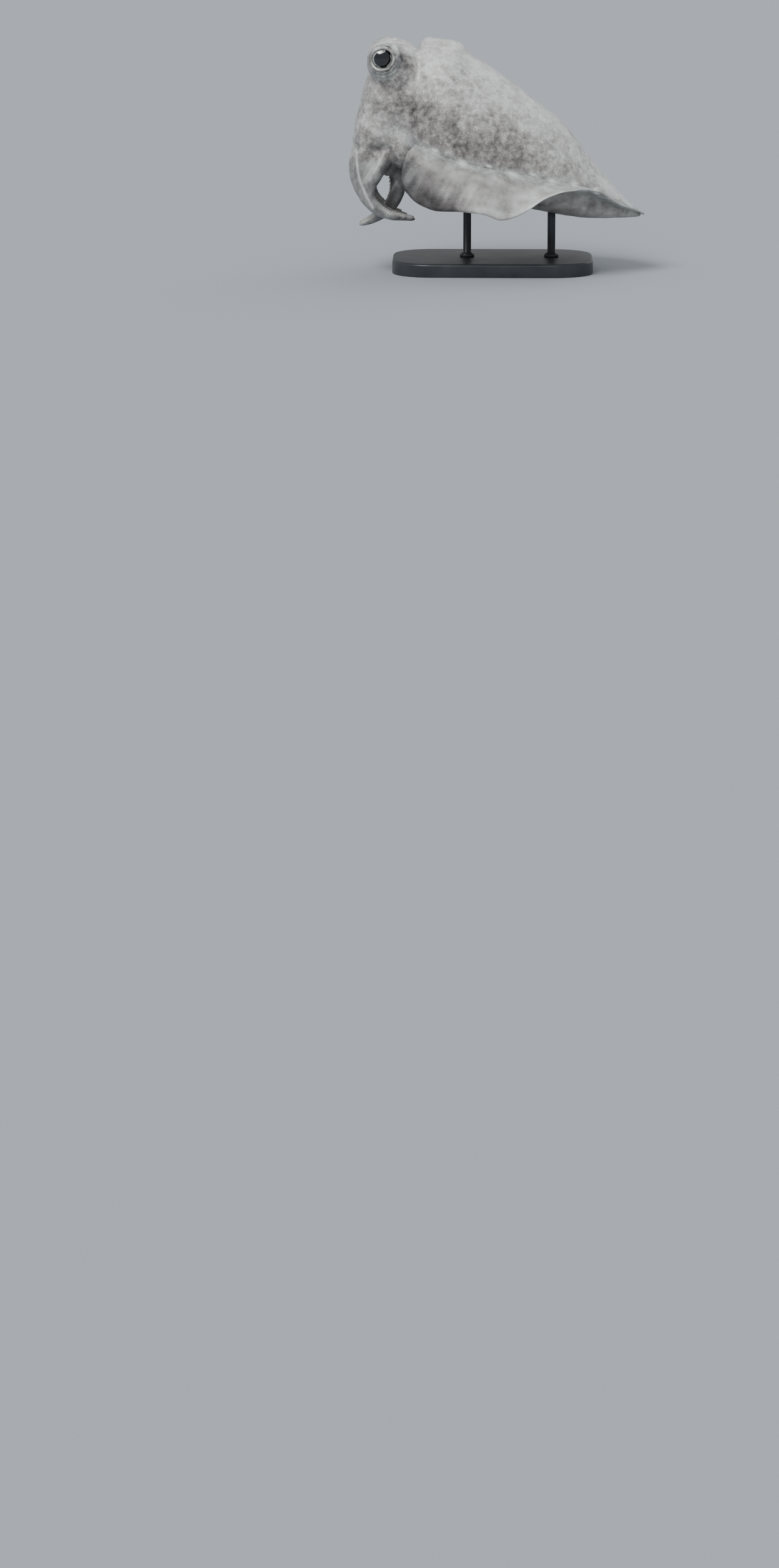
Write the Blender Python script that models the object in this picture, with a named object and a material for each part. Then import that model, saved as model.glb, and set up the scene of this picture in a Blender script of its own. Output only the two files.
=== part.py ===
"""Common cuttlefish, life size, held swimming on a display stand.

Lengths below are in millimetres and are turned into metres when a mesh is made.
The head points along -X, the animal's left side faces -Y, and +Z is up.
The mantle has its own axes: xi runs from the front edge of its back to the tail,
eta rises from that axis towards the back, and y is the same as the world's Y.
"""
import bpy
import bmesh
import math
import random
import numpy as np

MM = 0.001

# Driving sizes
MANTLE_LENGTH = 200.0
MANTLE_PITCH = math.radians(24.0)
FRONT_EDGE_X = -53.0
FRONT_EDGE_Z = 70.0
SHIFT_X = -1.05
LIFT_Z = 104.0
MEETING_GAP = 0.35
HALF_SLIT = 0.17
MERGE_DISTANCE = 0.002
PATH_STEP = 0.005
SMOOTH_ANGLE = math.radians(40.0)

# Mantle: height of back and belly and half width, along xi
BACK_LINE = (
    (0, 0), (23, 5.5), (50, -1.5), (86, -8.5), (119, -17.5),
    (144, -30), (165, -41), (185, -50), (200, -55),
)
BELLY_LINE = (
    (0, -84), (38, -92), (62, -94), (85, -91), (110, -87),
    (135, -82), (160, -75), (182, -66), (200, -57),
)
HALF_WIDTH = (
    (0, 46), (30, 50.5), (65, 53), (95, 50), (125, 42.5),
    (155, 30), (180, 17.5), (192, 10), (200, 3),
)
WIDEST_LEVEL = 0.70
BACK_ROUNDNESS = 2.15
BELLY_ROUNDNESS = 2.4
BELLY_EDGE_SETBACK = 38.0
MANTLE_AROUND = 28
MANTLE_RINGS = 16
MANTLE_RING_CROWDING = 0.07
LIP_INSET = 0.90
LIP_FLOOR = 0.85
LIP_DEPTH = 5.0

# Fins: root level, then the free edge's height and distance from the middle
FIN_ROOT_LEVEL = ((10, -74), (50, -73), (94, -65), (124, -59), (156, -54), (185, -54), (206, -54.5))
LEFT_EDGE_LEVEL = (
    (26, -83), (31, -97), (40, -106.5), (54, -109), (73, -101.5), (90, -96), (104, -94),
    (116, -83), (126, -67.5), (138, -57), (160, -48.5), (179, -52), (196, -53), (206, -55),
)
RIGHT_EDGE_LEVEL = (
    (26, -84), (36, -96), (52, -100), (80, -88), (105, -80), (130, -77),
    (150, -68), (170, -57), (188, -54), (206, -55),
)
EDGE_REACH = (
    (26, 56), (31, 64), (40, 70), (54, 74), (73, 77), (104, 78), (126, 73),
    (140, 66), (160, 51), (180, 33), (196, 14), (206, 2),
)
FIN_START = 26.0
FIN_END = 206.0
FIN_STATIONS = 25
FIN_ACROSS = 4
FIN_ROOT_THICKNESS = 3.2
FIN_EDGE_THICKNESS = 0.9
FIN_ROOT_SINK = 4.0
FIN_FRONT_LEAD = 6.0
FIN_LEAD_FADE = 12.0
FIN_MIDDLE_CLEARANCE = 0.8
FIN_LEAST_WIDTH = 1.0
FIN_BEND_OUT = 0.8
FIN_BEND_DOWN = 0.12

# Head: back and belly points of each cross-section in the middle plane, and half width
HEAD_SECTIONS = (
    ((-42.0, 54.0), (-48.0, 2.0), 29.0),
    ((-56.0, 61.0), (-57.0, 0.0), 32.0),
    ((-67.5, 63.5), (-61.0, -1.0), 34.5),
    ((-80.0, 62.0), (-63.2, -2.2), 36.0),
    ((-92.5, 53.5), (-64.6, -3.4), 36.5),
    ((-99.0, 38.5), (-65.4, -4.6), 36.0),
    ((-103.0, 23.0), (-66.0, -5.8), 33.5),
    ((-107.0, 7.0), (-66.3, -6.9), 31.5),
    ((-109.6, -8.0), (-66.5, -8.0), 30.0),
)
HEAD_ROUNDNESS = 2.2
HEAD_AROUND = 24

# Eyes, their domes, lids and the papillae above them
EYE_CENTRE = (-86.0, 30.0, 56.5)
EYE_RADIUS = 10.2
EYE_OPENING = 8.6
DOME_CENTRE = (-83.0, 24.5, 53.5)
DOME_RADII = (17.5, 16.5, 15.3)
LID_RING_RADIUS = 9.5
LID_THICKNESS = 1.4
LID_AROUND = 16
LID_SIDES = 5
PAPILLA_LENGTH = 4.5
PAPILLA_RADIUS = 1.7
PAPILLA_TIP_RADIUS = 0.6
PAPILLA_SIDES = 5
PAPILLA_LEANS = ((-35, 20), (0, 12), (38, 24))

# Crown of arms
CROWN_X = -88.0
CROWN_Z = -8.0
CROWN_RING = (14.6, 22.6)
ARM_ROOT_RADIUS = 6.8
ARM_TIP_RADIUS = 1.1
ARM_TAPER_POWER = 1.7
ARM_SIDES = 8
ARM_RINGS = 8
ARM_SPLIT = 0.5
RIGHT_ARMS_DROP = 4.0
MOUTH_SIDE_TARGET = (-89.0, 0.0, -28.0)

# Courses of the arms of one side after their roots, as (x, distance from the middle, z)
ARM_COURSES = {
    1: ((-105.0, 7.3, -22), (-104.3, 7.8, -35), (-100, 9.2, -45.5), (-92.5, 13, -54), (-82, 15.4, -60),
        (-71, 15.6, -63), (-61.5, 15.0, -64)),
    2: ((-99.6, 20.6, -18), (-102.0, 21.0, -30), (-101, 21.8, -41), (-95.5, 23.4, -51), (-87, 24.6, -58),
        (-77, 24.4, -61.5), (-67, 24, -62.5)),
    3: ((-85.3, 25.5, -19), (-91.8, 31.3, -30), (-96.8, 33.2, -40), (-95.0, 34.0, -49), (-88, 34.4, -56),
        (-79.5, 34.2, -60), (-71, 33.5, -61)),
    4: ((-75.0, 7.3, -19), (-74.8, 7.3, -32), (-75.2, 7.1, -44), (-79.5, 6.4, -54), (-87, 5.6, -61.5),
        (-95.5, 5.2, -66.5), (-105, 4.6, -70)),
}

# Suckers in four rows on the mouth side of each arm
SUCKER_STATIONS = 16
SUCKER_SIDES = 5
SUCKER_TO_ARM = 0.27
SUCKER_COLUMNS = (11.0, -38.0)
SUCKER_PROFILE = ((-0.55, 0.72), (0.55, 1.0))
SUCKER_HOLLOW = 0.2
SUCKER_SPREAD = (0.93, 1.05)
SUCKER_FIRST_SHARE = 0.03
SUCKER_LAST_SHARE = 0.98
SUCKER_CROWDING = 1.45
SUCKER_END_MARGIN = 1.3
SUCKER_SEED = 11

# Mouth and funnel
MOUTH_RADII = (6.4, 14.0)
MOUTH_HEIGHT = 7.0
MOUTH_PROFILE = ((0.0, 1.0), (0.45, 0.98), (0.8, 0.78), (1.0, 0.5))
BEAK_LENGTH = 3.5
BEAK_RADII = (3.0, 0.6)
BEAK_ROOT = 0.6
BEAK_LEAN = 1.0
FUNNEL_COURSE = ((-44, -13), (-52, -17.5), (-56.6, -26), (-58.8, -35), (-59.8, -43))
FUNNEL_HALF_WIDTHS = (15.0, 13.0, 10.0, 7.4, 6.2)
FUNNEL_HALF_DEPTHS = (7.0, 6.2, 5.6, 5.2, 5.0)
FUNNEL_AROUND = 16
FUNNEL_RINGS = 6
FUNNEL_BORE = 0.62
FUNNEL_BORE_TAPER = 0.8
FUNNEL_BORE_SHARE = 0.3

# Stand
BASE_LENGTH = 150.0
BASE_WIDTH = 100.0
BASE_HEIGHT = 10.0
BASE_CORNER = 30.0
BASE_CORNER_STEPS = 7
BASE_BEVEL = 2.0
BASE_X = -4.0
ROD_RADIUS = 3.0
ROD_SIDES = 20
ROD_SINK = 8.0
ROD_FRONT_XI = 74.0
ROD_REAR_XI = 138.0

# Colours and surfaces
SKIN_COLOUR = (0.62, 0.60, 0.55)
FIN_COLOUR = (0.72, 0.70, 0.66)
EYE_COLOUR = (0.05, 0.05, 0.06)
LIP_COLOUR = (0.55, 0.42, 0.38)
STAND_COLOUR = (0.20, 0.21, 0.22)


def value_along(table, at):
    """Smooth value of a table of (place, value) pairs, with slopes taken from the neighbours."""
    xs = np.array([row[0] for row in table], dtype=float)
    ys = np.array([row[1] for row in table], dtype=float)
    slopes = np.gradient(ys, xs)
    place = float(np.clip(at, xs[0], xs[-1]))
    i = int(np.clip(np.searchsorted(xs, place) - 1, 0, len(xs) - 2))
    span = xs[i + 1] - xs[i]
    t = (place - xs[i]) / span
    return (
        ys[i] * (1 + 2 * t) * (1 - t) ** 2
        + ys[i + 1] * t * t * (3 - 2 * t)
        + slopes[i] * span * t * (1 - t) ** 2
        - slopes[i + 1] * span * t * t * (1 - t)
    )


def smooth_path(points, share):
    """Point on a smooth line through the points, at a share of its length."""
    pts = np.array(points, dtype=float)
    steps = np.linalg.norm(np.diff(pts, axis=0), axis=1)
    places = np.concatenate(([0.0], np.cumsum(steps)))
    at = share * places[-1]
    return np.array([value_along(list(zip(places, pts[:, axis])), at) for axis in range(pts.shape[1])])


def body_point(xi, eta, y):
    """Place on the mantle's axes turned into the animal's upright axes."""
    x = FRONT_EDGE_X + xi * math.cos(MANTLE_PITCH) + eta * math.sin(MANTLE_PITCH)
    z = FRONT_EDGE_Z - xi * math.sin(MANTLE_PITCH) + eta * math.cos(MANTLE_PITCH)
    return np.array((x, y, z))


def rounded_power(value, roundness):
    """Signed power that squares off an ellipse's sine or cosine."""
    return math.copysign(abs(value) ** (2.0 / roundness), value)


def new_material(name, colour, roughness, metallic=0.0):
    """Principled material of one colour."""
    material = bpy.data.materials.new(name)
    material.use_nodes = True
    shader = material.node_tree.nodes["Principled BSDF"]
    shader.inputs["Base Color"].default_value = (*colour, 1.0)
    shader.inputs["Roughness"].default_value = roughness
    shader.inputs["Metallic"].default_value = metallic
    return material


def mesh_object(name, points, faces):
    """Object from points in millimetres and faces, with its faces turned outward."""
    mesh = bpy.data.meshes.new(name)
    bm = bmesh.new()
    verts = [bm.verts.new(((p[0] + SHIFT_X) * MM, p[1] * MM, (p[2] + LIFT_Z) * MM)) for p in points]
    for face in faces:
        bm.faces.new([verts[i] for i in face])
    bmesh.ops.recalc_face_normals(bm, faces=bm.faces)
    bm.to_mesh(mesh)
    bm.free()
    thing = bpy.data.objects.new(name, mesh)
    bpy.context.scene.collection.objects.link(thing)
    return thing


def ring_faces(rings, around):
    """Triangles between neighbouring rings, each four-sided patch split the same way."""
    faces = []
    for i in range(rings - 1):
        for j in range(around):
            a = i * around + j
            b = i * around + (j + 1) % around
            faces.append((a, b, b + around))
            faces.append((a, b + around, a + around))
    return faces


def loft(name, rings):
    """Closed body through rings of equal count, each end closed by a fan to its middle."""
    around = len(rings[0])
    points = [p for ring in rings for p in ring]
    faces = ring_faces(len(rings), around)
    first = len(points)
    points.append(np.mean(rings[0], axis=0))
    points.append(np.mean(rings[-1], axis=0))
    last_row = (len(rings) - 1) * around
    for j in range(around):
        k = (j + 1) % around
        faces.append((first, k, j))
        faces.append((first + 1, last_row + j, last_row + k))
    return mesh_object(name, points, faces)


def ellipsoid(name, centre, radii, around=14, rings=7):
    """Ball stretched to three radii, its poles on the Y axis."""
    points = []
    for i in range(1, rings):
        turn = math.pi * i / rings
        for j in range(around):
            angle = 2 * math.pi * j / around
            points.append((
                centre[0] + radii[0] * math.sin(turn) * math.cos(angle),
                centre[1] - radii[1] * math.cos(turn),
                centre[2] + radii[2] * math.sin(turn) * math.sin(angle),
            ))
    faces = ring_faces(rings - 1, around)
    near = len(points)
    points.append((centre[0], centre[1] - radii[1], centre[2]))
    points.append((centre[0], centre[1] + radii[1], centre[2]))
    last_row = (rings - 2) * around
    for j in range(around):
        k = (j + 1) % around
        faces.append((near, k, j))
        faces.append((near + 1, last_row + j, last_row + k))
    return mesh_object(name, points, faces)


def largest_body(thing):
    """Keep only the largest connected surface of a mesh."""
    bm = bmesh.new()
    bm.from_mesh(thing.data)
    bmesh.ops.triangulate(bm, faces=bm.faces)
    bmesh.ops.remove_doubles(bm, verts=bm.verts, dist=MERGE_DISTANCE * MM)
    unseen = set(bm.verts)
    groups = []
    while unseen:
        stack = [unseen.pop()]
        group = set(stack)
        while stack:
            vert = stack.pop()
            for edge in vert.link_edges:
                other = edge.other_vert(vert)
                if other in unseen:
                    unseen.remove(other)
                    group.add(other)
                    stack.append(other)
        groups.append(group)
    keep = max(groups, key=len)
    bmesh.ops.delete(bm, geom=[v for v in bm.verts if v not in keep], context="VERTS")
    bm.to_mesh(thing.data)
    bm.free()


def combine(thing, others, operation):
    """Join other closed bodies to a body, or cut them out of it, and remove them."""
    group = bpy.data.collections.new(thing.name + "_group")
    bpy.context.scene.collection.children.link(group)
    for other in others:
        bpy.context.scene.collection.objects.unlink(other)
        group.objects.link(other)
    modifier = thing.modifiers.new("fuse", "BOOLEAN")
    modifier.operand_type = "COLLECTION"
    modifier.collection = group
    modifier.operation = operation
    modifier.solver = "EXACT"
    bpy.context.view_layer.update()
    evaluated = thing.evaluated_get(bpy.context.evaluated_depsgraph_get())
    result = bpy.data.meshes.new_from_object(evaluated)
    thing.modifiers.remove(modifier)
    thing.data = result
    for other in others:
        bpy.data.objects.remove(other)
    bpy.data.collections.remove(group)
    largest_body(thing)


def grown_copy(thing, gap):
    """Copy of a body with every corner moved outward by the gap."""
    copy = bpy.data.objects.new(thing.name + "_grown", thing.data.copy())
    bpy.context.scene.collection.objects.link(copy)
    bm = bmesh.new()
    bm.from_mesh(copy.data)
    bm.normal_update()
    shifts = {vert: vert.normal * gap * MM for vert in bm.verts}
    for vert, shift in shifts.items():
        vert.co += shift
    bm.to_mesh(copy.data)
    bm.free()
    return copy


def carve(thing, neighbour, gap=MEETING_GAP):
    """Cut a body back from its neighbour, so that they meet face to face across the gap."""
    combine(thing, [grown_copy(neighbour, gap)], "DIFFERENCE")


def mantle_section(xi):
    """Back level, belly level, widest level and half width of the mantle at xi."""
    back = value_along(BACK_LINE, xi)
    belly = value_along(BELLY_LINE, xi)
    widest = back - WIDEST_LEVEL * (back - belly)
    return back, belly, widest, value_along(HALF_WIDTH, xi)


def mantle_ring(station, shrink=1.0, push=0.0):
    """Ring of the mantle, set back towards the belly near the front edge."""
    ring = []
    fade = (1 - station / MANTLE_LENGTH) ** 3
    for j in range(MANTLE_AROUND):
        angle = 2 * math.pi * j / MANTLE_AROUND
        setback = BELLY_EDGE_SETBACK * fade * (1 - math.cos(angle)) / 2
        xi = station + setback
        back, belly, widest, half = mantle_section(xi)
        upper = math.cos(angle) >= 0
        roundness = BACK_ROUNDNESS if upper else BELLY_ROUNDNESS
        reach = back - widest if upper else widest - belly
        eta = widest + reach * rounded_power(math.cos(angle), roundness)
        middle = (back + belly) / 2
        y = half * rounded_power(math.sin(angle), roundness)
        ring.append(body_point(xi + push, middle + (eta - middle) * shrink, y * shrink))
    return ring


def make_mantle():
    """Mantle as one body with a raised front lip and a rounded tail end."""
    stations = []
    for i in range(MANTLE_RINGS):
        share = i / (MANTLE_RINGS - 1)
        stations.append(MANTLE_LENGTH * (share - MANTLE_RING_CROWDING * math.sin(2 * math.pi * share)))
    rings = [mantle_ring(0.0, LIP_FLOOR, LIP_DEPTH), mantle_ring(0.0, LIP_INSET)]
    rings += [mantle_ring(station) for station in stations]
    return loft("mantle", rings)


def flank_reach(xi, eta):
    """Half width of the mantle below its widest level."""
    back, belly, widest, half = mantle_section(xi)
    drop = min(1.0, max(0.0, (widest - eta) / (widest - belly)))
    return half * (1 - drop ** BELLY_ROUNDNESS) ** (1 / BELLY_ROUNDNESS)


def fin_row(xi, edge_level, side):
    """Upper and lower points of the fin across one station."""
    root_eta = value_along(FIN_ROOT_LEVEL, xi)
    root_y = max(flank_reach(min(xi, MANTLE_LENGTH), root_eta) - FIN_ROOT_SINK, FIN_MIDDLE_CLEARANCE)
    edge_eta = value_along(edge_level, xi)
    edge_y = max(value_along(EDGE_REACH, xi), root_y + FIN_LEAST_WIDTH)
    root = np.array((root_y, root_eta))
    edge = np.array((edge_y, edge_eta))
    bend = root + (edge - root) * np.array((FIN_BEND_OUT, FIN_BEND_DOWN))
    top = []
    bottom = []
    for k in range(FIN_ACROSS + 1):
        t = k / FIN_ACROSS
        middle = (1 - t) ** 2 * root + 2 * t * (1 - t) * bend + t * t * edge
        slope = (1 - t) * (bend - root) + t * (edge - bend)
        slope = slope / np.linalg.norm(slope)
        normal = np.array((-slope[1], slope[0]))
        half = (FIN_ROOT_THICKNESS + (FIN_EDGE_THICKNESS - FIN_ROOT_THICKNESS) * t) / 2
        upper = middle + normal * half
        lower = middle - normal * half
        forward = FIN_FRONT_LEAD * t * math.exp(-(xi - FIN_START) / FIN_LEAD_FADE)
        top.append(body_point(xi - forward, upper[1], side * upper[0]))
        bottom.append(body_point(xi - forward, lower[1], side * lower[0]))
    return top, bottom


def make_fin(name, edge_level, side, mantle):
    """Fin along one flank, its upper and lower faces split into triangles alike."""
    points = []
    count = FIN_ACROSS + 1
    for i in range(FIN_STATIONS):
        xi = FIN_START + (FIN_END - FIN_START) * i / (FIN_STATIONS - 1)
        top, bottom = fin_row(xi, edge_level, side)
        points += top + bottom
    faces = []
    for i in range(FIN_STATIONS - 1):
        row = i * 2 * count
        after = row + 2 * count
        for k in range(FIN_ACROSS):
            for layer, flip in ((0, False), (count, True)):
                a, b = row + layer + k, row + layer + k + 1
                c, d = after + layer + k + 1, after + layer + k
                for face in ((a, b, c), (a, c, d)):
                    faces.append(face[::-1] if flip else face)
        for k in (0, FIN_ACROSS):
            a, b = row + k, row + count + k
            c, d = after + count + k, after + k
            faces += [(a, b, c), (a, c, d)]
    for row in (0, (FIN_STATIONS - 1) * 2 * count):
        for k in range(FIN_ACROSS):
            a, b = row + k, row + k + 1
            c, d = row + count + k + 1, row + count + k
            faces += [(a, b, c), (a, c, d)]
    fin = mesh_object(name, points, faces)
    carve(fin, mantle)
    return fin


def head_ring(back_point, belly_point, half_width):
    """Ring of the head in the plane through its back and belly points."""
    back = np.array((back_point[0], 0.0, back_point[1]))
    belly = np.array((belly_point[0], 0.0, belly_point[1]))
    centre = (back + belly) / 2
    reach = (back - belly) / 2
    ring = []
    for j in range(HEAD_AROUND):
        angle = 2 * math.pi * j / HEAD_AROUND
        along = rounded_power(math.cos(angle), HEAD_ROUNDNESS)
        side = rounded_power(math.sin(angle), HEAD_ROUNDNESS)
        ring.append(centre + reach * along + np.array((0.0, half_width * side, 0.0)))
    return ring


def dome_level(forward, upward):
    """Distance from the middle of the dome's surface, at an offset from the eye's centre."""
    x = (EYE_CENTRE[0] + forward - DOME_CENTRE[0]) / DOME_RADII[0]
    z = (EYE_CENTRE[2] + upward - DOME_CENTRE[2]) / DOME_RADII[2]
    return DOME_CENTRE[1] + DOME_RADII[1] * math.sqrt(max(0.0, 1 - x * x - z * z))


def lid_ring(side):
    """Raised lid round the eye's opening."""
    rings = []
    around = LID_AROUND
    for i in range(around):
        angle = 2 * math.pi * i / around
        level = dome_level(LID_RING_RADIUS * math.cos(angle), LID_RING_RADIUS * math.sin(angle))
        ring = []
        for j in range(LID_SIDES):
            turn = 2 * math.pi * j / LID_SIDES
            radius = LID_RING_RADIUS + LID_THICKNESS * math.cos(turn)
            y = level + LID_THICKNESS * math.sin(turn)
            x = EYE_CENTRE[0] + radius * math.cos(angle)
            z = EYE_CENTRE[2] + radius * math.sin(angle)
            ring.append((x, side * y, z))
        rings.append(ring)
    points = [p for ring in rings for p in ring]
    faces = ring_faces(around, LID_SIDES)
    last = (around - 1) * LID_SIDES
    for j in range(LID_SIDES):
        k = (j + 1) % LID_SIDES
        faces.append((last + j, last + k, k))
        faces.append((last + j, k, j))
    return mesh_object("lid", points, faces)


def cone(name, foot, tip, foot_radius, tip_radius, sides=6):
    """Short tapering body from a foot point to a tip point."""
    foot = np.array(foot, dtype=float)
    tip = np.array(tip, dtype=float)
    along = (tip - foot) / np.linalg.norm(tip - foot)
    across = np.cross(along, (0.0, 1.0, 0.0) if abs(along[1]) < 0.8 else (1.0, 0.0, 0.0))
    across = across / np.linalg.norm(across)
    other = np.cross(along, across)
    rings = []
    for centre, radius in ((foot, foot_radius), (tip, tip_radius)):
        turns = [2 * math.pi * j / sides for j in range(sides)]
        rings.append([centre + radius * (math.cos(t) * across + math.sin(t) * other) for t in turns])
    return loft(name, rings)


def papillae(side):
    """Small skin points on top of one eye's dome."""
    pieces = []
    for forward, outward in PAPILLA_LEANS:
        a = math.radians(forward)
        b = math.radians(outward)
        direction = np.array((math.sin(a) * math.cos(b), side * math.sin(b), math.cos(a) * math.cos(b)))
        centre = np.array((DOME_CENTRE[0], side * DOME_CENTRE[1], DOME_CENTRE[2]))
        surface = centre + direction * np.array(DOME_RADII)
        foot = surface - direction * PAPILLA_LENGTH / 2
        tip = surface + direction * PAPILLA_LENGTH / 2
        pieces.append(cone("papilla", foot, tip, PAPILLA_RADIUS, PAPILLA_TIP_RADIUS, PAPILLA_SIDES))
    return pieces


def make_eye(name, side):
    """Eyeball of one side."""
    centre = (EYE_CENTRE[0], side * EYE_CENTRE[1], EYE_CENTRE[2])
    return ellipsoid(name, centre, (EYE_RADIUS,) * 3, 16, 8)


def make_head(eyes):
    """Head with its eye domes, lids and papillae, from the neck to the crown of arms."""
    head = loft("head", [head_ring(*section) for section in HEAD_SECTIONS])
    additions = []
    for side in (-1, 1):
        centre = (DOME_CENTRE[0], side * DOME_CENTRE[1], DOME_CENTRE[2])
        additions.append(ellipsoid("dome", centre, DOME_RADII))
        additions += papillae(side)
    combine(head, additions, "UNION")
    openings = []
    for side in (-1, 1):
        inner = (EYE_CENTRE[0], side * EYE_CENTRE[1], EYE_CENTRE[2])
        outer = (EYE_CENTRE[0], side * (EYE_CENTRE[1] + 2 * EYE_RADIUS), EYE_CENTRE[2])
        openings.append(cone("opening", inner, outer, EYE_OPENING, EYE_OPENING, LID_AROUND))
    combine(head, openings, "DIFFERENCE")
    combine(head, [lid_ring(-1), lid_ring(1)], "UNION")
    for eye in eyes:
        carve(head, eye)
    return head


def arm_root(pair):
    """Root of an arm of one side on the crown's oval, at equal steps along its outline."""
    turns = np.linspace(0.0, math.pi, 721)
    xs = -CROWN_RING[0] * np.cos(turns)
    ys = CROWN_RING[1] * np.sin(turns)
    places = np.concatenate(([0.0], np.cumsum(np.hypot(np.diff(xs), np.diff(ys)))))
    at = places[-1] * (pair - 0.5) / 4
    return (CROWN_X + np.interp(at, places, xs), np.interp(at, places, ys), CROWN_Z - MEETING_GAP)


def arm_frame(course, share):
    """Centre, direction, mouth-side direction and sideways direction at a share of an arm."""
    centre = smooth_path(course, share)
    ahead = smooth_path(course, min(1.0, share + PATH_STEP))
    behind = smooth_path(course, max(0.0, share - PATH_STEP))
    along = ahead - behind
    if share == 0.0:
        along = np.array((0.0, 0.0, -1.0))
    along = along / np.linalg.norm(along)
    mouthward = np.array(MOUTH_SIDE_TARGET) - centre
    mouthward = mouthward - along * np.dot(mouthward, along)
    mouthward = mouthward / np.linalg.norm(mouthward)
    return centre, along, mouthward, np.cross(along, mouthward)


def arm_radius(share):
    """Radius of an arm at a share of its length."""
    return ARM_TIP_RADIUS + (ARM_ROOT_RADIUS - ARM_TIP_RADIUS) * (1 - share ** ARM_TAPER_POWER)


def arm_ring(course, share):
    """Ring of an arm with one flat side turned to the mouth."""
    centre, along, mouthward, sideways = arm_frame(course, share)
    ring = []
    for j in range(ARM_SIDES):
        angle = 2 * math.pi * (j + 0.5) / ARM_SIDES
        ring.append(centre + arm_radius(share) * (math.cos(angle) * mouthward + math.sin(angle) * sideways))
    return ring


def make_sucker(course, share, column, size):
    """Small cup with a sunken middle, standing on the arm's facet at an angle from the mouth side."""
    centre, along, mouthward, sideways = arm_frame(course, share)
    radius = arm_radius(share)
    facet = 2 * math.pi / ARM_SIDES
    angle = math.radians(column)
    facing = facet * round(angle / facet)
    normal = math.cos(facing) * mouthward + math.sin(facing) * sideways
    reach = radius * math.cos(facet / 2) / math.cos(angle - facing)
    foot = centre + reach * (math.cos(angle) * mouthward + math.sin(angle) * sideways)
    across = np.cross(normal, along)
    rings = []
    for height, width in SUCKER_PROFILE:
        turns = [2 * math.pi * j / SUCKER_SIDES for j in range(SUCKER_SIDES)]
        level = foot + normal * height * size
        rings.append([level + width * size * (math.cos(t) * along + math.sin(t) * across) for t in turns])
    points = rings[0] + rings[1] + [foot + normal * SUCKER_HOLLOW * size]
    faces = ring_faces(2, SUCKER_SIDES)
    faces.append(tuple(range(SUCKER_SIDES)))
    for j in range(SUCKER_SIDES):
        faces.append((SUCKER_SIDES + j, SUCKER_SIDES + (j + 1) % SUCKER_SIDES, 2 * SUCKER_SIDES))
    return mesh_object("sucker", points, faces)


def arm_suckers(course, start, end, draw):
    """Suckers of one length of an arm, in rows that alternate from side to side."""
    pieces = []
    length = sum(np.linalg.norm(np.diff(np.array(course), axis=0), axis=1))
    for station in range(SUCKER_STATIONS):
        along = 1 - (1 - (station + 0.5) / SUCKER_STATIONS) ** SUCKER_CROWDING
        share = SUCKER_FIRST_SHARE + (SUCKER_LAST_SHARE - SUCKER_FIRST_SHARE) * along
        margin = SUCKER_END_MARGIN * SUCKER_TO_ARM * arm_radius(share) / length
        if share - margin < start or share + margin > end:
            continue
        swap = 1 if station % 2 else -1
        for column in SUCKER_COLUMNS:
            size = SUCKER_TO_ARM * arm_radius(share) * draw.uniform(*SUCKER_SPREAD)
            pieces.append(make_sucker(course, share, swap * column, size))
    return pieces


def make_arm(pair, side, draw):
    """One arm in two lengths that meet across a thin cut."""
    label = "left" if side < 0 else "right"
    course = [arm_root(pair)] + list(ARM_COURSES[pair])
    if side > 0 and pair < 4:
        steps = len(course) - 1
        course = [(x, y, z - RIGHT_ARMS_DROP * (i / steps) ** 2) for i, (x, y, z) in enumerate(course)]
    course = [(x, side * y, z) for x, y, z in course]
    length = sum(np.linalg.norm(np.diff(np.array(course), axis=0), axis=1))
    slit = HALF_SLIT / length
    pieces = []
    for part, start, end in (("upper", 0.0, ARM_SPLIT - slit), ("tip", ARM_SPLIT + slit, 1.0)):
        shares = [start + (end - start) * i / (ARM_RINGS - 1) for i in range(ARM_RINGS)]
        piece = loft(f"arm{pair}_{label}_{part}", [arm_ring(course, share) for share in shares])
        suckers = arm_suckers(course, start, end, draw)
        if suckers:
            combine(piece, suckers, "UNION")
        pieces.append(piece)
    return pieces


def make_mouth():
    """Ring of lips inside the crown, with the tip of the beak in its middle."""
    rings = []
    for level, spread in MOUTH_PROFILE:
        ring = []
        for j in range(FUNNEL_AROUND):
            angle = 2 * math.pi * j / FUNNEL_AROUND
            ring.append((
                CROWN_X + MOUTH_RADII[0] * spread * math.cos(angle),
                MOUTH_RADII[1] * spread * math.sin(angle),
                CROWN_Z - MEETING_GAP - MOUTH_HEIGHT * level,
            ))
        rings.append(ring)
    mouth = loft("mouth", rings)
    foot = (CROWN_X, 0.0, CROWN_Z - MOUTH_HEIGHT * BEAK_ROOT)
    tip = (CROWN_X - BEAK_LEAN, 0.0, CROWN_Z - MOUTH_HEIGHT - BEAK_LENGTH)
    combine(mouth, [cone("beak", foot, tip, *BEAK_RADII)], "UNION")
    return mouth


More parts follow.
